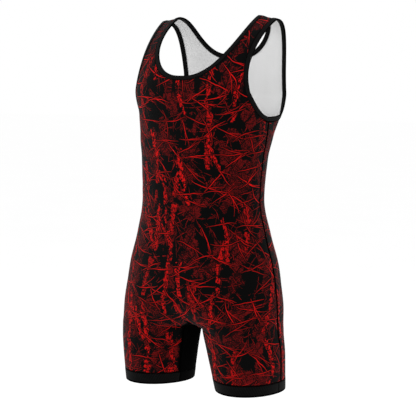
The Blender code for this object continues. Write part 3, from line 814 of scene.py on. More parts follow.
# Wandering of the whole print, of the twigs, and of the outlines of leaves: the size of a
# grain and the reach, in millimetres.
DRIFT = (90.0, 26.0)
KINK = (7.0, 1.8)
TEAR = (5.5, 13.0)
# Leaves: their width and height, the grain of the speckle, how much lightness differs from
# leaf to leaf and from patch to patch, and where dark turns to light.
LEAF_SIZE = (7.5, 8.5)
SPECKLE = (2.6, 2.4)
LEAF_TONE = 0.20
PATCH_TONE = 0.14
LEAF_LIGHT = (0.475, 0.545)
PATCH_SLIM = 0.85          # width of a patch for its height
# Bark: the bites out of a trunk's edge and the tears of it, in millimetres.
BITE = 6.0
BARK_TEAR = 8.0


def twig_layer(dye, x, y, row, seed, torn=0.0):
    """Twigs or trunks of one slant: where they are, with the gap beside them, and how bright.

    Slanting bricks hold one twig each. In a brick, the twig's middle line is a parabola
    whose offset, slope and bend are random; a thinner branch leaves it at a random place.
    """
    twig = dict(zip(TWIG_COLUMNS, row))
    c, s = np.cos(np.radians(twig["degrees"])), np.sin(np.radians(twig["degrees"]))
    a = (x * c + y * s) / twig["cell_length"]
    b = (y * c - x * s) / twig["cell_width"]
    line = dye.floor(b)
    shift, _, _ = dye.chance(line, 0.0, seed)
    a = a + shift
    brick = dye.floor(a)
    offset, slope, bend = dye.chance(brick, line, seed + 0.37)
    there, strength, fork = dye.chance(brick, line, seed + 0.71)
    u = a - brick - 0.5
    v = b - line - 0.5
    bent = (bend - 0.5) * twig["bend"]
    middle = (offset - 0.5) * TWIG_STRAY + (slope - 0.5) * TWIG_SLOPE * twig["bend"] * u + bent * u * u
    thickness = twig["thickness"] * (TWIG_FULL - abs(u) * twig["taper"])
    width = twig["cell_width"]
    edge = abs(v - middle) * width - thickness + torn
    past = u - (fork - 0.5) * BRANCH_AT
    branch = abs(v - middle - past * bent * BRANCH_BEND) * width - thickness * BRANCH_FULL
    branch = dye.step(branch, *TWIG_EDGE) * (past > 0.0)
    inside = dye.step(abs(u), *BRICK_EDGE) * dye.step(abs(v), *BRICK_EDGE) * (there < twig["share"])
    mask = dye.largest(dye.step(edge, *TWIG_EDGE), branch) * inside
    beside = dye.step(edge, *BESIDE_TWIG) * inside
    return mask, beside, strength * RANDOM_SHADE + (1 - RANDOM_SHADE) * twig["shade"]


def leaf_patches(dye, x, y, size, share, seed):
    """Torn patches of leaves: where they are, and their light and dark.

    Voronoi cells whose outlines are torn by noise are filled or left out whole. Smaller
    cells inside them are single leaves, each of its own tone, and a fine speckle covers all.
    """
    tear_x, tear_y = dye.wander(x, y, *TEAR, seeds=(seed + 1.0, seed + 2.0), detail=3.0, rough=0.7)
    torn_x, torn_y = x + tear_x, y + tear_y
    there, tone, _ = dye.cells(torn_x / size, torn_y / size * PATCH_SLIM, seed)
    leaf, _, _ = dye.cells(torn_x / LEAF_SIZE[0], torn_y / LEAF_SIZE[1], seed + 3.0)
    speckle = dye.noise(x, y, *SPECKLE, seed + 4.0, detail=1.0, rough=0.6)
    light = speckle + (leaf - 0.5) * LEAF_TONE + (tone - 0.5) * PATCH_TONE
    light = dye.step(light, *LEAF_LIGHT)
    return there < share, light


def trunk_bark(dye, x, y):
    """How far a trunk's edge is torn away, in millimetres, and where its bark is bright.

    Noise tears the edge both ways, and coarser noise eats whole bites out of it. Bark is
    bright where fine upright noise and the noise of the knots are both high.
    """
    torn = (dye.noise(x, y, 4.0, 7.0, seed=53.0, detail=3.0, rough=0.6) - 0.5) * BARK_TEAR
    bites = dye.step(dye.noise(x, y, 15.0, 20.0, seed=56.0), 0.48, 0.62)
    bark = dye.step(dye.noise(x, y, 2.6, 6.0, seed=55.0, detail=3.0, rough=0.65), 0.43, 0.52)
    knots = dye.step(dye.noise(x, y, 5.0, 7.0, seed=59.0), 0.38, 0.47)
    return torn + bites * BITE, bark * knots


def camouflage(dye, x, y, colours, painted_shade):
    """The print on its black ground, from the back to the front.

    Leafy patches, fine twigs, more leaves, cleared patches, a layer of dark twigs, trunks,
    more dark twigs and long bright twigs lie over one another. Twigs and trunks keep a dark
    gap beside them. The print fades to its ground as its painted shade goes from 0 to 1.
    """
    drift_x, drift_y = dye.wander(x, y, *DRIFT, seeds=(2.0, 7.0))
    kink_x, kink_y = dye.wander(x, y, *KINK, seeds=(11.0, 15.0))
    twig_x, twig_y = x + drift_x + kink_x, y + drift_y + kink_y

    colour = colours.ground
    patches, light = leaf_patches(dye, x + drift_x, y + drift_y, size=26.0, share=0.45, seed=20.0)
    colour = dye.mix(patches, colour, dye.mix(light, colours.leaf_dark, colours.leaf))
    for number, row in enumerate(FINE_TWIGS):
        mask, beside, strength = twig_layer(dye, twig_x, twig_y, row, 30.0 + number)
        colour = dye.mix(beside * FINE_GAP, colour, colours.ground)
        twig = dye.mix(strength * FINE_BRIGHT, colours.leaf, colours.bright)
        colour = dye.mix(mask, colour, twig)
    patches, light = leaf_patches(dye, x + drift_y, y - drift_x, size=24.0, share=0.10, seed=25.0)
    colour = dye.mix(patches, colour, dye.mix(light, colours.leaf_dark, colours.leaf))
    clearing, _ = leaf_patches(dye, x - drift_x, y + drift_y, size=21.0, share=0.15, seed=28.0)
    colour = dye.mix(clearing, colour, colours.ground)
    mask, _, _ = twig_layer(dye, twig_x, twig_y, DARK_TWIGS[0], 41.0)
    colour = dye.mix(mask, colour, colours.ground)

    torn, bark = trunk_bark(dye, x, y)
    for number, row in enumerate(TRUNKS):
        mask, beside, strength = twig_layer(dye, twig_x, twig_y, row, 50.0 + number, torn)
        colour = dye.mix(beside, colour, colours.ground)
        shine = bark * (strength * BARK_BRIGHT[0] + BARK_BRIGHT[1])
        colour = dye.mix(mask, colour, dye.mix(shine, colours.leaf_dark, colours.bright))
    for number, row in enumerate(DARK_TWIGS[1:]):
        mask, _, _ = twig_layer(dye, twig_x, twig_y, row, 43.0 + number)
        colour = dye.mix(mask, colour, colours.ground)
    for number, row in enumerate(LONG_TWIGS):
        mask, beside, strength = twig_layer(dye, twig_x, twig_y, row, 60.0 + number)
        colour = dye.mix(beside, colour, colours.ground)
        cover = mask * (strength * LONG_COVER[0] + LONG_COVER[1])
        colour = dye.mix(cover, colour, colours.bright)
    # Painted shade: the print fades to its ground by the shade that is given.
    return dye.mix(painted_shade, colour, colours.ground)


# Cloths -------------------------------------------------------------------------------------
# Dark lines along the seams, and the painted shade by the thigh seam (THIGH_SHADE): how far from
# the seam, in millimetres, they begin and are full.
SIDE_LINE = (3.7, 2.9)
THIGH_LINE = (2.4, 1.5)
HEM_LINE = (2.6, 1.6)
BAND_LINE = (1.7, 1.0)
THIGH_SHADE = (14.0, 1.0)
LINE_SHADE = 0.95          # how dark they are on printed cloth
LINE_BLUR = 0.5            # half the blur of the dark edges of tape and bands: painted shade at folds and raw edges, and a band's top seam line
# The uneven border of the painted shade along the thigh seam, beyond which the print fades to
# black, in millimetres: the grain of its noise, how far that noise moves it, how far it is
# drawn back to the seam, and its blur.
BORDER_GRAIN = (14.0, 22.0)
BORDER_REACH = 22.0
BORDER_BACK = 3.0
BORDER_BLUR = (2.5, -2.5)


def printed_cloth(name, colours, knit):
    """Stretch knit with the print on it: knit loops, dark seam lines and a soft sheen.

    Loops are a sine across the wales plus a slanting sine along the courses. In an uneven
    border along the thigh seam the print fades to black without gloss: painted shade between
    the legs. Seams and hems are dark lines.
    """
    dye = Dye(name)
    x, y = dye.flat_map()
    to_side, to_thigh, to_hem = dye.seams()
    # Painted shade between the legs: in an uneven border near the thigh seam the print fades to black.
    border = dye.noise(x, y, *BORDER_GRAIN, seed=71.0, detail=3.0, rough=0.6)
    border = border * BORDER_REACH - BORDER_BACK
    shade_near_thigh = dye.step(to_thigh - border, *BORDER_BLUR)
    colour = camouflage(dye, x, y, colours, shade_near_thigh)
    turn, wale_share, loop_shade = 2 * np.pi / MILLIMETRES, 0.6, 0.22
    wale, course = x / knit.wale_pitch * turn, y / knit.course_pitch * turn
    loops = dye.math("SINE", wale) * wale_share + dye.math("SINE", course + wale) * (1 - wale_share)
    raised = dye.step(loops, -1.0, 1.0)
    colour = dye.mix(raised * loop_shade, colour, colours.ground)
    line = dye.largest(dye.step(to_side, *SIDE_LINE), dye.step(to_thigh, *THIGH_LINE))
    line = dye.largest(line, dye.step(to_hem, *HEM_LINE))
    dye.finish(Base_Color=colour, Roughness=0.70 + raised * 0.12, Specular_IOR_Level=knit.gloss,
               Sheen_Weight=knit.sheen, Sheen_Roughness=0.45, Normal=dye.bump(loops, knit.loop_height))
    # Painted shade near the thigh seam, black without gloss, joins the dark seam lines.
    thigh_matt_shade = dye.step(to_thigh, *THIGH_SHADE) * shade_near_thigh
    return dye.darken(dye.largest(line * LINE_SHADE, thigh_matt_shade), colours.seam)


def cloth_back(name, colours, knit):
    """The unprinted back of the knit: two pale greys, mixed by fine noise and by clouds."""
    dye = Dye(name)
    x, y = dye.flat_map()
    grain_share, low, high, flatness = 0.5, 0.25, 0.75, 0.2
    grain = dye.noise(x, y, 1.6, 1.6, seed=5.0, rough=0.6)
    cloudy = dye.noise(x, y, 30.0, 60.0, seed=9.0)
    tone = dye.step(grain * grain_share + cloudy * (1 - grain_share), low, high)
    colour = dye.mix(tone, colours.back_low, colours.back_high)
    return dye.finish(Base_Color=colour, Roughness=0.80 + grain * 0.12, Specular_IOR_Level=knit.gloss,
                      Normal=dye.bump(grain, knit.loop_height * flatness))


def thread_cloth(name, colours, knit):
    """Sewing thread: black, with very fine noise for the twist of its plies."""
    dye = Dye(name)
    place = dye.node("ShaderNodeTexCoord", None, None, 3)
    plies = dye.node("ShaderNodeTexNoise", None, {"Vector": place, "Scale": 1500.0})
    colour = dye.mix(plies, colours.ground, colours.thread)
    return dye.finish(Base_Color=colour, Roughness=0.8 + plies * 0.1, Specular_IOR_Level=knit.gloss)


def plain_cloth(name, colours, knit):
    """Black knit, tape or rib: fine slanting lines, and shade towards its edges.

    The lines are a sine of the place along the cloth, leaned by the place across it. The
    map's first number runs round a binding's or a band's profile. The cloth is dark near
    each of the weave's edges, given as a place on that run and half a width: painted shade
    where tape and band fold or end, and the seam line along a band's top. A band is dark at
    the seams across it, and painted deeper black within the thigh seams, as shade between
    the legs.
    """
    weave = WEAVES[name]
    dye = Dye(name)
    x, y = dye.flat_map()
    wave_share, grain_share, dark_at, pale_at = 0.25, 0.5, 0.45, 1.10
    inside_shade, full_shade = 0.75, 0.9
    wave = dye.math("SINE", (y + x * weave["lean"]) / weave["pitch"] * (2 * np.pi))
    cloudy = dye.noise(x, y, 9.0, 14.0, seed=4.0, detail=3.0, rough=0.6)
    grain = dye.noise(x, y, 0.8, 0.8, seed=8.0, rough=0.6)
    tone = dye.step(wave * wave_share + cloudy + grain * grain_share, dark_at, pale_at)
    colour = getattr(colours, weave["colour"])
    pale = tuple(channel * weave["contrast"] for channel in colour[:3]) + (1.0,)
    # Painted shade at a tape's fold and raw edges and over a band's fold, and a band's top seam line.
    shade = [dye.step(abs(x - middle), half + LINE_BLUR, half - LINE_BLUR)
             for middle, half in weave["edges"]]
    if weave["seamed"]:
        to_side, within, _ = dye.seams()
        shade += [dye.step(to_side, *BAND_LINE), dye.step(abs(within), *BAND_LINE)]
        # Painted shade: the band is darker within the thigh seams, between the legs.
        shade.append(dye.step(within, 0.0, 1.0) * inside_shade)
    dark = 0.0
    for part in shade:
        dark = dye.largest(dark, part)
    dye.finish(Base_Color=dye.mix(tone, colour, pale), Roughness=0.66 + cloudy * 0.2,
               Specular_IOR_Level=knit.gloss * weave["shine"], Sheen_Weight=knit.sheen * weave["shine"],
               Sheen_Roughness=0.5, Normal=dye.bump(wave + grain, weave["height"]))
    return dye.darken(dark * full_shade, colours.seam) if shade else dye.material


# Weaves of the black cloths. Pitches and edges are millimetres, heights are metres. A tape's
# edges are painted shade at its fold and raw edges; a band's are its top seam line and painted
# shade over its fold and inner face.
WEAVES = {
    "inner_thigh_knit": {
        "colour": "inner_thigh", "pitch": 1.4, "lean": 0.2, "height": 0.00005, "contrast": 1.8,
        "shine": 0.1, "edges": (), "seamed": False},
    "binding_tape_knit": {
        "colour": "tape", "pitch": 1.9, "lean": 0.35, "height": 0.00005, "contrast": 3.2,
        "shine": 0.8, "edges": ((0.0, 1.0), (11.8, 2.6), (23.6, 1.5)), "seamed": False},
    "leg_band_knit": {
        "colour": "rib", "pitch": 5.4, "lean": -0.5, "height": 0.00003, "contrast": 4.5,
        "shine": 1.1, "edges": ((0.0, 1.2), (36.0, 15.6)), "seamed": True},
}
CLOTHS = {"printed_knit_face": printed_cloth, "knit_back": cloth_back, "thread": thread_cloth}
CLOTHS.update(dict.fromkeys(WEAVES, plain_cloth))


def cloth_named(scene, name):
    """The material of that name, made when it is first asked for."""
    made = bpy.data.materials.get(name)
    return made or CLOTHS[name](name, scene.singlet_colours, scene.singlet_knit)


# Pieces -------------------------------------------------------------------------------------
def panel_grid(side, sizes):
    """The left half of the front (side -1) or back (side +1) panel, as angles and levels.

    Row by row it goes from the leg band to the ridge. A row starts on the inner-thigh seam,
    then on the centre line, then inside the neck binding. It ends on the side seam, then
    inside the armhole binding. Beyond each binding's raw edge one more column of cells
    reaches to the cloth's own edge under the fold. Its marks are the distances from the side
    seam, the thigh seam, and the nearer of the hem and the shoulder seam.
    """
    half_gap = SEAM_LINE / 2
    neck = neck_edge(side, NECK_ROWS, NEAR_RIDGE)
    arm = armhole_edge(side, ARMHOLE_ROWS, NEAR_RIDGE)
    tuck = sizes.fold_depth + LIP_GAP
    neck_in = walk(*neck, sizes.binding_width, side, "x", "y")
    neck_raw = walk(*neck, tuck, side, "x", "y")
    arm_in = walk(*arm, sizes.binding_width, -side, "y", "y")
    arm_raw = walk(*arm, tuck, -side, "y", "y")

    seam = walk(*inner_seam(seam_levels()), half_gap, -1, "z", "x")
    centre_rise = np.linspace(seam[1][-1], neck_in[1][0], CENTRE_ROWS + 1)[1:-1]
    start_angle = np.concatenate([seam[0] * -side, side * centre_angle(centre_rise), neck_in[0]])
    start_level = np.concatenate([seam[1], centre_rise, neck_in[1]])
    start_angle[LEG_ROWS] = side * centre_angle(start_level[LEG_ROWS])

    side_rise = BAND_TOP + spread(arm_in[1][0] - BAND_TOP, SIDE_ROWS, NEAR_SEAM)[:-1]
    end_angle = np.concatenate([np.zeros(SIDE_ROWS), arm_in[0]])
    end_level = np.concatenate([side_rise, arm_in[1]])
    depth = ring_value("front" if side < 0 else "back", end_level[:SIDE_ROWS + 1])
    end_angle[:SIDE_ROWS + 1] = side * half_gap / depth

    angle, level, from_start, from_end = rows_between(
        (start_angle, start_level), (end_angle, end_level), PANEL_COLUMNS, NEAR_SEAM, NEAR_SEAM)
    rows = np.arange(len(angle))
    before = np.maximum(rows - LEG_ROWS - CENTRE_ROWS, 0)
    after = np.maximum(rows - SIDE_ROWS, 0)
    angle = np.concatenate([neck_raw[0][before, None], angle, arm_raw[0][after, None]], 1)
    level = np.concatenate([neck_raw[1][before, None], level, arm_raw[1][after, None]], 1)
    from_start, from_end = [np.pad(d, ((0, 0), (1, 1)), mode="edge") for d in (from_start, from_end)]
    angle[SIDE_ROWS, -1] = end_angle[SIDE_ROWS]

    by_level = np.linalg.norm(slopes(angle, level)[1], axis=-1)
    level[-1] -= half_gap / by_level[-1]
    keep = np.ones((len(angle) - 1, angle.shape[1] - 1), bool)
    keep[:LEG_ROWS + CENTRE_ROWS, 0] = False
    keep[:SIDE_ROWS, -1] = False

    above_peak = np.maximum(level - INNER_SEAM_PEAK, 0.0)
    above_arm = np.maximum(level - arm_in[1][0], 0.0)
    to_side = np.where(rows[:, None] <= SIDE_ROWS, from_end, np.hypot(from_end, above_arm))
    to_side = np.where(rows[:, None] > SIDE_ROWS, np.maximum(to_side, above_arm), to_side)
    to_thigh = np.where(rows[:, None] <= LEG_ROWS, from_start, np.hypot(from_start, above_peak))
    to_edge = np.minimum(level - BAND_TOP, np.maximum(SHOULDER - level, 0.0) * by_level)
    return angle, level, keep, np.stack([to_side, to_thigh, to_edge], -1)


def inner_thigh_grid(side):
    """The front (side -1) or back (side +1) half of the left inner-thigh panel.

    Its rows start on the seam. They end on the inside of the thigh and then, from the crotch
    up, on the centre line, as far as the peak where the seam meets that line and the rows
    close to a point. Those upper rows follow a point that moves along the centre line, and
    close their distance in cosine from it as the square of the way still to go. The closed
    row is given a length too small to see, so that it can be read like the others. Its marks
    are the distances from the thigh seam and the hem.
    """
    seam_angle, seam_level = walk(*inner_seam(seam_levels()), SEAM_LINE / 2, 1, "z", "x")
    peak = -centre_angle(seam_level[-1])
    seam_angle[-1] = peak
    t = np.linspace(0.0, 1.0, DENSE)
    lower = slice(0, THIGH_ROWS)
    thigh = BAND_TOP + spread(CROTCH - BAND_TOP, THIGH_ROWS, NEAR_SEAM)[:-1]
    low_level = seam_level[lower, None] + (thigh - seam_level[lower])[:, None] * t
    low_angle = seam_angle[lower, None] + (-np.pi - seam_angle[lower])[:, None] * t

    upper = slice(THIGH_ROWS, None)
    start = -centre_angle(seam_level[upper])
    end = np.linspace(-np.pi, peak, LEG_ROWS - THIGH_ROWS + 1)
    beside = start[:, None] + (end - start)[:, None] * t
    lift = seam_level[upper] - centre_level(start)
    high_level = centre_level(beside) + lift[:, None] * (1 - t)
    gap = np.cos(seam_angle[upper]) - np.cos(start)
    closing = gap[:, None] * (1 - t) ** 2 + np.cos(beside)
    high_angle = -np.arccos(np.clip(closing, -1.0, 1.0))
    angle, level = np.concatenate([low_angle, high_angle]), np.concatenate([low_level, high_level])
    growth = 1e-9
    along = run_lengths(body(angle, level)) + growth * t
    at = spread(along[:, -1], INNER_COLUMNS)
    angle, level = read_rows(at, along, angle), read_rows(at, along, level)
    to_edge = np.maximum(level - BAND_TOP, 0.0)
    keep = np.ones((LEG_ROWS, INNER_COLUMNS), bool)
    marks = np.stack([np.full(angle.shape, FAR_OFF), at, to_edge], -1)
    return -side * angle, level, keep, marks


def sewn_panel(scene, name, side, map_shift):
    """A printed panel: its left and right halves sewn in one wall."""
    sizes = scene.singlet_sizes
    grid = panel_grid(side, sizes)
    halves = [patch(grid, hand, side, sizes) for hand in (LEFT, RIGHT)]
    outer, inner = cloth_named(scene, "printed_knit_face"), cloth_named(scene, "knit_back")
    return wall(name, halves, sizes.panel_wall, outer, inner, map_shift)


def cloth_points(angle, level, side, hand, sizes):
    """Creased points of the outer face on one hand, and unit vectors out of it."""
    across = hand * map_across(angle, level)
    out = outward(angle, level) * (hand, 1.0, 1.0)
    height = creases(side, across, level, sizes.creases)[..., None]
    return body(angle, level) * (hand, 1.0, 1.0) + height * out, out


def binding_profile(sizes):
    """Cross-section of a folded binding, as distance in from the folded edge and height.

    Heights are measured from the panel's outer face. The outer side is a flat dome, the fold
    is half an ellipse, and a slot a lip gap wider than the cloth holds the panel's edge. The
    two raw edges are blunt points.
    """
    roll, dome, blunt = 0.0014, 0.00025, 0.0001
    fold_points, side_points = 11, 8
    above, below = LIP_GAP, -sizes.panel_wall - LIP_GAP
    top, bottom = above + sizes.tape, below - sizes.tape
    middle, half = (top + bottom) / 2, (top - bottom) / 2
    turn = np.linspace(np.pi / 2, -np.pi / 2, fold_points)
    fold = np.stack([roll * (1 - np.cos(turn)), middle + half * np.sin(turn)], -1)
    t = np.linspace(0.0, 1.0, side_points + 1)[:-1]
    width, slot = sizes.binding_width, sizes.fold_depth
    outer = np.stack([width + (roll - width) * t, top + dome * np.sin(np.pi * t)], -1)
    inner = np.stack([roll + (width - roll) * t[1:], np.full(side_points - 1, bottom)], -1)
    raw = width + blunt
    ends = np.array([(width, bottom), (raw, (bottom + below) / 2), (width, below), (slot, below),
                     (slot, above), (width, above), (raw, (above + top) / 2)])
    return np.concatenate([outer, fold, inner, ends])


def binding_strip(edge, side, hand, inward, flats, sizes):
    """Sections of a binding along one edge curve, on one hand."""
    profile = binding_profile(sizes)
    distances, place = np.unique(profile[:, 0], return_inverse=True)
    lines = [cloth_points(*walk(*edge, distance, inward * side, *flats), side, hand, sizes)
             for distance in distances]
    points = np.stack([line[0] for line in lines], 1)[:, place]
    out = np.stack([line[1] for line in lines], 1)[:, place]
    return points + profile[:, 1:] * out


def join_at_ridge(front, back):
    """Sections from the start of the front curve over the ridge to the start of the back one."""
    ridge = (front[-1:] + back[-1:]) / 2
    return np.concatenate([front[:-1], ridge, back[-2::-1]])


def neck_sections(sizes):
    """Sections all round the neck: up the left front, down the left back, and back again."""
    sides = []
    for hand in (LEFT, RIGHT):
        halves = [binding_strip(neck_edge(side, EDGE_STATIONS), side, hand, 1, "xy", sizes)
                  for side in (FRONT, BACK)]
        for half in halves:
            half[0, :, 0] = 0.0
        sides.append(join_at_ridge(*halves))
    return np.concatenate([sides[0], sides[1][-2:0:-1]])


def armhole_sections(hand, sizes):
    """Sections all round one armhole, from its bottom up the front and down the back."""
    front, back = [binding_strip(armhole_edge(side, EDGE_STATIONS), side, hand, -1, "yy", sizes)
                   for side in (FRONT, BACK)]
    front[0] = (front[0] + back[0]) / 2
    return join_at_ridge(front, back)[:-1]


def band_sections(hand, sizes):
    """Sections of a leg band: top edge, ribbed outer face, folded hem and inner face.

    Ribs are a cosine of the distance round the hem plus a slant times the height, and they
    die away towards the top edge and the fold. The cloth dips at the side seam and where the
    thigh seams run on down the band. The marks are the distance from the side seam and how
    far a point lies within the thigh seams.
    """
    samples_per_rib, face_rows, fold_rows, back_rows = 5, 9, 7, 5
    close_rows, face_start = (0.0002, 0.0006, 0.0012, 0.0020), 0.003
    rounding, edge_share = 0.0014, 0.35
    fade_start, fade_width = 0.001, 0.002

    ring = np.linspace(-np.pi, np.pi, 4 * DENSE)
    total = run_lengths(body(ring, np.full(ring.shape, HEM)))[-1]
    ribs = round(total / sizes.rib_pitch)
    angle, _ = spaced(ring, np.full(ring.shape, HEM), ribs * samples_per_rib)
    angle = angle[:-1]
    phase = np.arange(len(angle)) / samples_per_rib
    round_hem = phase / ribs * total
    to_side = np.abs(round_hem - total / 2)
    within = np.interp(-np.radians(SEAM_AT_BAND), angle, round_hem) - (total / 2 - to_side)
    dip = furrow(np.minimum(to_side, np.abs(within)), sizes.seam_dip, sizes.seam_width)
    top, fold = BAND_TOP - SEAM_LINE, sizes.band_wall / 2
    straight = top - HEM - fold
    middle = sizes.band_proud - fold
    down = np.concatenate([close_rows, np.linspace(face_start, straight, face_rows)])
    shoulder = np.sqrt(1 - (1 - np.minimum(down / rounding, 1.0)) ** 2)
    turn = np.linspace(0.0, np.pi, fold_rows + 2)[1:-1]
    up = np.linspace(0.0, straight, back_rows)
    heights = np.concatenate([top - down, HEM + fold - fold * np.sin(turn), HEM + fold + up])
    offsets = np.concatenate([middle + fold * (edge_share + (1 - edge_share) * shoulder),
                              middle + fold * np.cos(turn), np.full(back_rows, middle - fold)])
    fade = np.clip(np.minimum(down - fade_start, straight - down) / fade_width, 0.0, 1.0)
    fade = np.concatenate([fade, np.zeros(len(heights) - len(down))])
    behind = np.sin(angle) > 0
    sections = []
    for height, offset, share in zip(heights, offsets, fade):
        level = np.full(angle.shape, height)
        points = body(angle, level) * (hand, 1.0, 1.0)
        out = outward(angle, level) * (hand, 1.0, 0.0)
        out /= np.linalg.norm(out, axis=1, keepdims=True)
        across = hand * map_across(angle, level)
        crease = np.where(behind, *[creases(side, across, level, sizes.creases)
                                    for side in (BACK, FRONT)])
        slant = (height - HEM) * sizes.rib_slant / sizes.rib_pitch
        rib = sizes.rib_height * np.cos(2 * np.pi * (phase + slant))
        sections.append(points + (offset + crease + share * (rib + dip))[:, None] * out)
    marks = np.stack([to_side, within, np.full(len(angle), FAR_OFF)], -1)
    return np.stack(sections, 1), np.repeat(marks, len(heights), axis=0)


def edge_run(edge, distance, side, hand, inward, flats, lift, sizes):
    """A run for stitches: a curve a distance in from an edge, lifted off the cloth."""
    line, out = cloth_points(*walk(*edge, distance, inward * side, *flats), side, hand, sizes)
    return line + lift * out, out


# What a user may change ---------------------------------------------------------------------
def length_property(name, description, default):
    """A length in metres."""
    return FloatProperty(name=name, description=description, default=default, unit="LENGTH")


def share_property(name, description, default):
    """A share or a strength, from 0 up."""
    return FloatProperty(name=name, description=description, default=default, min=0.0, subtype="FACTOR")


def colour_property(name, description, default):
    """A linear colour with alpha."""
    return FloatVectorProperty(name=name, description=description, default=default + (1.0,),
                               size=4, min=0.0, max=1.0, subtype="COLOR")


class SingletSizes(bpy.types.PropertyGroup):
    """Thicknesses and widths of cloth, tape, bands and thread, and the depth of the creases."""
    panel_wall: length_property("Panel cloth", "Thickness of the panels' cloth", 0.0012)
    tape: length_property("Tape", "Thickness of the binding tape", 0.0009)
    binding_width: length_property("Binding width", "Folded edge to raw edge", 0.0105)
    fold_depth: length_property("Fold depth", "Cloth edge to folded edge inside a binding", 0.0012)
    band_proud: length_property(
        "Band proud", "How far a leg band stands out of the panel above it", 0.0004)
    band_wall: length_property("Band wall", "Thickness of a leg band's two layers", 0.0022)
    rib_pitch: length_property("Rib pitch", "Distance between the ribs of a leg band", 0.0019)
    rib_height: length_property("Rib height", "Half of a rib's height", 0.00009)
    rib_slant: FloatProperty(
        name="Rib slant", description="How far a rib runs round the leg for each unit up", default=0.30)
    seam_dip: length_property("Seam dip", "How deep the cloth dips at a seam", 0.0007)
    seam_width: length_property("Seam dip width", "Distance over which the cloth dips", 0.0013)
    stitch_pitch: length_property("Stitch pitch", "Distance from one stitch to the next", 0.0030)
    thread: length_property("Thread", "Radius of the sewing thread", 0.00022)
    creases: share_property("Creases", "Times the depth of each crease", 1.0)


class SingletKnit(bpy.types.PropertyGroup):
    """The knit's loops and its gloss."""
    wale_pitch: length_property("Wale pitch", "Distance between columns of loops", 0.0014)
    course_pitch: length_property("Course pitch", "Distance between rows of loops", 0.0026)
    loop_height: length_property("Loop height", "Height of a loop over the cloth", 0.00008)
    gloss: share_property("Gloss", "Strength of the plain reflection", 0.02)
    sheen: share_property("Sheen", "Soft light that grazing cloth gives back", 0.04)


class SingletColours(bpy.types.PropertyGroup):
    """Colours of the print, the trim and the cloth's back."""
    ground: colour_property("Ground", "Black between the leaves and twigs", (0.0015, 0.0016, 0.0016))
    leaf_dark: colour_property("Dark leaf", "Shaded parts of leaves and bark", (0.013, 0.0018, 0.0020))
    leaf: colour_property("Leaf", "Maroon of the leafy patches", (0.112, 0.0038, 0.0040))
    bright: colour_property("Twig", "Bright red of twigs and trunks", (0.680, 0.0060, 0.0055))
    # Seam is also the black of the painted shade: at folds and edges of tape and bands, and between the
    # legs.
    seam: colour_property("Seam", "Shade in the seams", (0.0004, 0.0004, 0.0004))
    inner_thigh: colour_property("Inner thigh", "Deep black panel", (0.0008, 0.0008, 0.0008))
    tape: colour_property("Tape", "Binding tape", (0.0018, 0.0018, 0.0018))
    rib: colour_property("Rib", "Leg bands", (0.0007, 0.0007, 0.0007))
    thread: colour_property("Thread", "Sewing thread", (0.0025, 0.0025, 0.0025))
    back_low: colour_property("Back, low", "Darker loops of the cloth's back", (0.745, 0.745, 0.745))
    back_high: colour_property("Back, high", "Lighter loops of the cloth's back", (0.79, 0.79, 0.79))


class SingletStage(bpy.types.PropertyGroup):
    """Camera, floor and lights."""
    camera_place: FloatVectorProperty(
        name="Camera place", description="Where the camera stands", default=(1.4588, -2.4307, -0.1128),
        subtype="TRANSLATION", unit="LENGTH")
    camera_turn: FloatProperty(
        name="Camera turn", description="How far round to the wearer's left the camera stands",
        default=np.radians(31.43), subtype="ANGLE", unit="ROTATION")
    camera_tilt: FloatProperty(
        name="Camera tilt", description="How far the camera looks down",
        default=np.radians(5.90), subtype="ANGLE", unit="ROTATION")
    lens: FloatProperty(
        name="Lens", description="Focal length over a 36 mm sensor", default=113.8, unit="CAMERA")
    floor_level: length_property("Floor level", "Where the feet would stand", -1.42)
    daylight: FloatProperty(
        name="Daylight", description="Brightness of the white surroundings", default=1.0)
    key_power: FloatProperty(
        name="Key light", description="Power of the large soft light", default=22.0, unit="POWER")
    fill_power: FloatProperty(
        name="Fill light", description="Power of the lights beside and behind", default=6.0, unit="POWER")


# Operators ----------------------------------------------------------------------------------
def sew_on(piece, slot, *nodes):
    """The piece moves with the garment and stands for its nodes. The slot is not used."""
    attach(piece, BODY)
    if nodes:
        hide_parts(*nodes)


class SINGLET_OT_panels(bpy.types.Operator):
    """Make the printed front and back panels"""
    bl_idname = "singlet.panels"
    bl_label = "Front and back panels"

    def execute(self, context):
        panels = (("front_panel", FRONT, (0.0, 0.0)), ("back_panel", BACK, BACK_PRINT_SHIFT))
        for name, side, shift in panels:
            piece = sewn_panel(context.scene, name + "_cloth", side, shift)
            sew_on(piece, "printed_knit", name)
        return {"FINISHED"}


class SINGLET_OT_inner_thigh(bpy.types.Operator):
    """Make the plain black panel between the legs"""
    bl_idname = "singlet.inner_thigh"
    bl_label = "Inner-thigh panel"

    def execute(self, context):
        scene = context.scene
        sizes = scene.singlet_sizes
        patches = [patch(inner_thigh_grid(side), hand, side, sizes)
                   for side in (FRONT, BACK) for hand in (LEFT, RIGHT)]
        outer, inner = cloth_named(scene, "inner_thigh_knit"), cloth_named(scene, "knit_back")
        piece = wall("inner_thigh_cloth", patches, sizes.panel_wall, outer, inner, (0.0, 0.0))
        sew_on(piece, "black_knit", "inner_thigh_panel")
        return {"FINISHED"}


class SINGLET_OT_bindings(bpy.types.Operator):
    """Make the folded tape round the neck and the armholes"""
    bl_idname = "singlet.bindings"
    bl_label = "Bindings"

    def execute(self, context):
        scene = context.scene
        sizes = scene.singlet_sizes
        tape = cloth_named(scene, "binding_tape_knit")
        loops = [("neck_binding", neck_sections(sizes))]
        for hand, suffix in HANDS:
            loops.append(("armhole_binding_" + suffix, armhole_sections(hand, sizes)))
        for name, sections in loops:
            sew_on(loop_mesh(name + "_tape", sections, tape), "binding_tape", name)
        return {"FINISHED"}


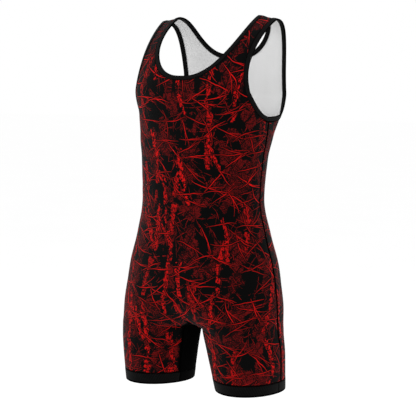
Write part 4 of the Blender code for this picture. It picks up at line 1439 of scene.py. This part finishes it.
class SINGLET_OT_leg_bands(bpy.types.Operator):
    """Make the ribbed bands round the legs"""
    bl_idname = "singlet.leg_bands"
    bl_label = "Leg bands"

    def execute(self, context):
        scene = context.scene
        sizes = scene.singlet_sizes
        knit = cloth_named(scene, "leg_band_knit")
        for hand, suffix in HANDS:
            name = "leg_band_" + suffix
            sections, marks = band_sections(hand, sizes)
            sew_on(loop_mesh(name + "_rib", sections, knit, {"seams": marks}), "leg_band_rib", name)
        return {"FINISHED"}


class SINGLET_OT_stitching(bpy.types.Operator):
    """Make the rows of stitches along bindings, hems and seams"""
    bl_idname = "singlet.stitching"
    bl_label = "Stitching"

    def execute(self, context):
        scene = context.scene
        sizes = scene.singlet_sizes
        lift = LIP_GAP + sizes.tape + STITCH_LIFT
        rows = [sizes.binding_width - back for back in BINDING_ROWS]
        neck = [edge_run(neck_edge(side, EDGE_STATIONS), row, side, hand, 1, "xy", lift, sizes)
                for side in (FRONT, BACK) for hand in (LEFT, RIGHT) for row in rows]
        work = [("neck_stitches", neck, "binding_tape")]
        for hand, suffix in HANDS:
            runs = [edge_run(armhole_edge(side, EDGE_STATIONS), row, side, hand, -1, "yy", lift, sizes)
                    for side in (FRONT, BACK) for row in rows]
            work.append(("armhole_stitches_" + suffix, runs, "binding_tape"))
            work.append(("seam_stitches_" + suffix, seam_runs(hand, sizes), "printed_knit"))
        thread = cloth_named(scene, "thread")
        for name, runs, slot in work:
            sew_on(stitches(name, runs, sizes.stitch_pitch, sizes.thread, thread), slot)
        return {"FINISHED"}


def seam_runs(hand, sizes):
    """Runs beside the side seam, the thigh seams and the hem on one hand.

    Beside the side seam the angle is the distance from it over the ring's depth.
    """
    beside_side, beside_thigh, above_hem = 0.0019, 0.0015, 0.0015
    clear_band, clear_binding, clear_peak = 0.004, 0.002, 0.001
    clear_side, clear_thigh_degrees = 0.06, 6.0
    bottom, top = BAND_TOP + clear_band, ARMHOLE_BOTTOM - sizes.binding_width - clear_binding
    side_level = np.linspace(bottom, top, EDGE_STATIONS)
    rise = np.linspace(bottom, INNER_SEAM_PEAK - clear_peak, EDGE_STATIONS)
    seam = walk(*inner_seam(rise), beside_thigh, -1, "z", "x")
    around = np.linspace(clear_side, np.radians(SEAM_AT_BAND - clear_thigh_degrees), EDGE_STATIONS)
    hem = np.full(EDGE_STATIONS, BAND_TOP + above_hem)
    runs = []
    for side, column in ((FRONT, "front"), (BACK, "back")):
        angle = side * beside_side / ring_value(column, side_level)
        for line in ((angle, side_level), (seam[0] * -side, seam[1]), (side * around, hem)):
            points, out = cloth_points(*line, side, hand, sizes)
            runs.append((points + STITCH_LIFT * out, out))
    return runs


class SINGLET_OT_stage(bpy.types.Operator):
    """Make the floor, the soft lights and the camera"""
    bl_idname = "singlet.stage"
    bl_label = "Stage"

    def execute(self, context):
        scene = context.scene
        stage = scene.singlet_stage
        make_floor(scene, stage)
        make_lights(scene, stage)
        lens = bpy.data.cameras.new("camera")
        lens.sensor_width = 36.0
        lens.lens = stage.lens
        camera = bpy.data.objects.new("camera", lens)
        camera.location = stage.camera_place
        camera.rotation_euler = (np.pi / 2 - stage.camera_tilt, 0.0, stage.camera_turn)
        scene.collection.objects.link(camera)
        scene.camera = camera
        return {"FINISHED"}


def make_floor(scene, stage):
    """A wide pale floor where the feet would stand, with a faint mottle."""
    half = 30.0
    corners = [(x * half, y * half, stage.floor_level) for x, y in ((-1, -1), (1, -1), (1, 1), (-1, 1))]
    mesh = bpy.data.meshes.new("floor")
    mesh.from_pydata(corners, [], [(0, 1, 2, 3)])
    dye = Dye("pale_floor")
    place = dye.node("ShaderNodeTexCoord", None, None, 3)
    mottle = dye.node("ShaderNodeTexNoise", None, {"Vector": place, "Scale": 2.0})
    colour = dye.mix(mottle, (0.985, 0.985, 0.985, 1.0), (1.0, 1.0, 1.0, 1.0))
    mesh.materials.append(dye.finish(Base_Color=colour, Roughness=0.9, Specular_IOR_Level=0.0))
    floor = bpy.data.objects.new("floor", mesh)
    scene.collection.objects.link(floor)


# Lamps: where each stands, and how wide it is. All aim at the middle of the garment.
LAMPS = (
    ("key", (-0.9, -2.6, 1.0), 1.8),
    ("side_fill", (2.6, -1.2, 0.6), 1.6),
    ("back_fill_left", (1.8, 2.4, 0.9), 1.8),
    ("back_fill_right", (-2.2, 2.0, 0.9), 1.8),
)
LAMP_AIM = (0.0, -0.04, -0.39)


def make_lights(scene, stage):
    """White surroundings, a large soft key in front and three fills."""
    world = bpy.data.worlds.new("white_room")
    world.use_nodes = True
    background = world.node_tree.nodes["Background"]
    background.inputs["Color"].default_value = (1.0, 1.0, 1.0, 1.0)
    background.inputs["Strength"].default_value = stage.daylight
    scene.world = world
    scene.view_settings.view_transform = "Standard"
    for name, place, size in LAMPS:
        light = bpy.data.lights.new(name, "AREA")
        light.shape = "DISK"
        light.size = size
        light.energy = stage.key_power if name == "key" else stage.fill_power
        lamp = bpy.data.objects.new(name, light)
        lamp.location = place
        x, y, z = np.array(LAMP_AIM) - place
        lamp.rotation_euler = (np.pi / 2 + np.arctan2(z, np.hypot(x, y)), 0.0, np.arctan2(-x, y))
        scene.collection.objects.link(lamp)


class SINGLET_PT_sidebar(bpy.types.Panel):
    """Lists the steps and the sizes and colours they use"""
    bl_idname = "SINGLET_PT_sidebar"
    bl_label = "Wrestling singlet"
    bl_space_type = "VIEW_3D"
    bl_region_type = "UI"
    bl_category = "Singlet"

    def draw(self, context):
        layout = self.layout
        for operator in OPERATORS:
            layout.operator(operator.bl_idname)
        for settings in SETTINGS:
            box = layout.box()
            group = getattr(context.scene, settings)
            for name in group.__annotations__:
                box.prop(group, name)


OPERATORS = (SINGLET_OT_panels, SINGLET_OT_inner_thigh, SINGLET_OT_bindings, SINGLET_OT_leg_bands,
             SINGLET_OT_stitching, SINGLET_OT_stage)
SETTINGS = {
    "singlet_sizes": SingletSizes, "singlet_knit": SingletKnit, "singlet_colours": SingletColours,
    "singlet_stage": SingletStage,
}


def register():
    """Add the classes, and give the scene its settings."""
    for group in SETTINGS.values():
        bpy.utils.register_class(group)
    for operator in OPERATORS:
        bpy.utils.register_class(operator)
    bpy.utils.register_class(SINGLET_PT_sidebar)
    for name, group in SETTINGS.items():
        setattr(bpy.types.Scene, name, PointerProperty(type=group))


def unregister():
    """Take the settings and the classes away again."""
    for name in SETTINGS:
        delattr(bpy.types.Scene, name)
    bpy.utils.unregister_class(SINGLET_PT_sidebar)
    for operator in reversed(OPERATORS):
        bpy.utils.unregister_class(operator)
    for group in reversed(list(SETTINGS.values())):
        bpy.utils.unregister_class(group)


def main():
    """Make every piece and the stage."""
    register()
    bpy.ops.singlet.panels()
    bpy.ops.singlet.inner_thigh()
    bpy.ops.singlet.bindings()
    bpy.ops.singlet.leg_bands()
    bpy.ops.singlet.stitching()
    bpy.ops.singlet.stage()


if __name__ == "__main__":
    main()
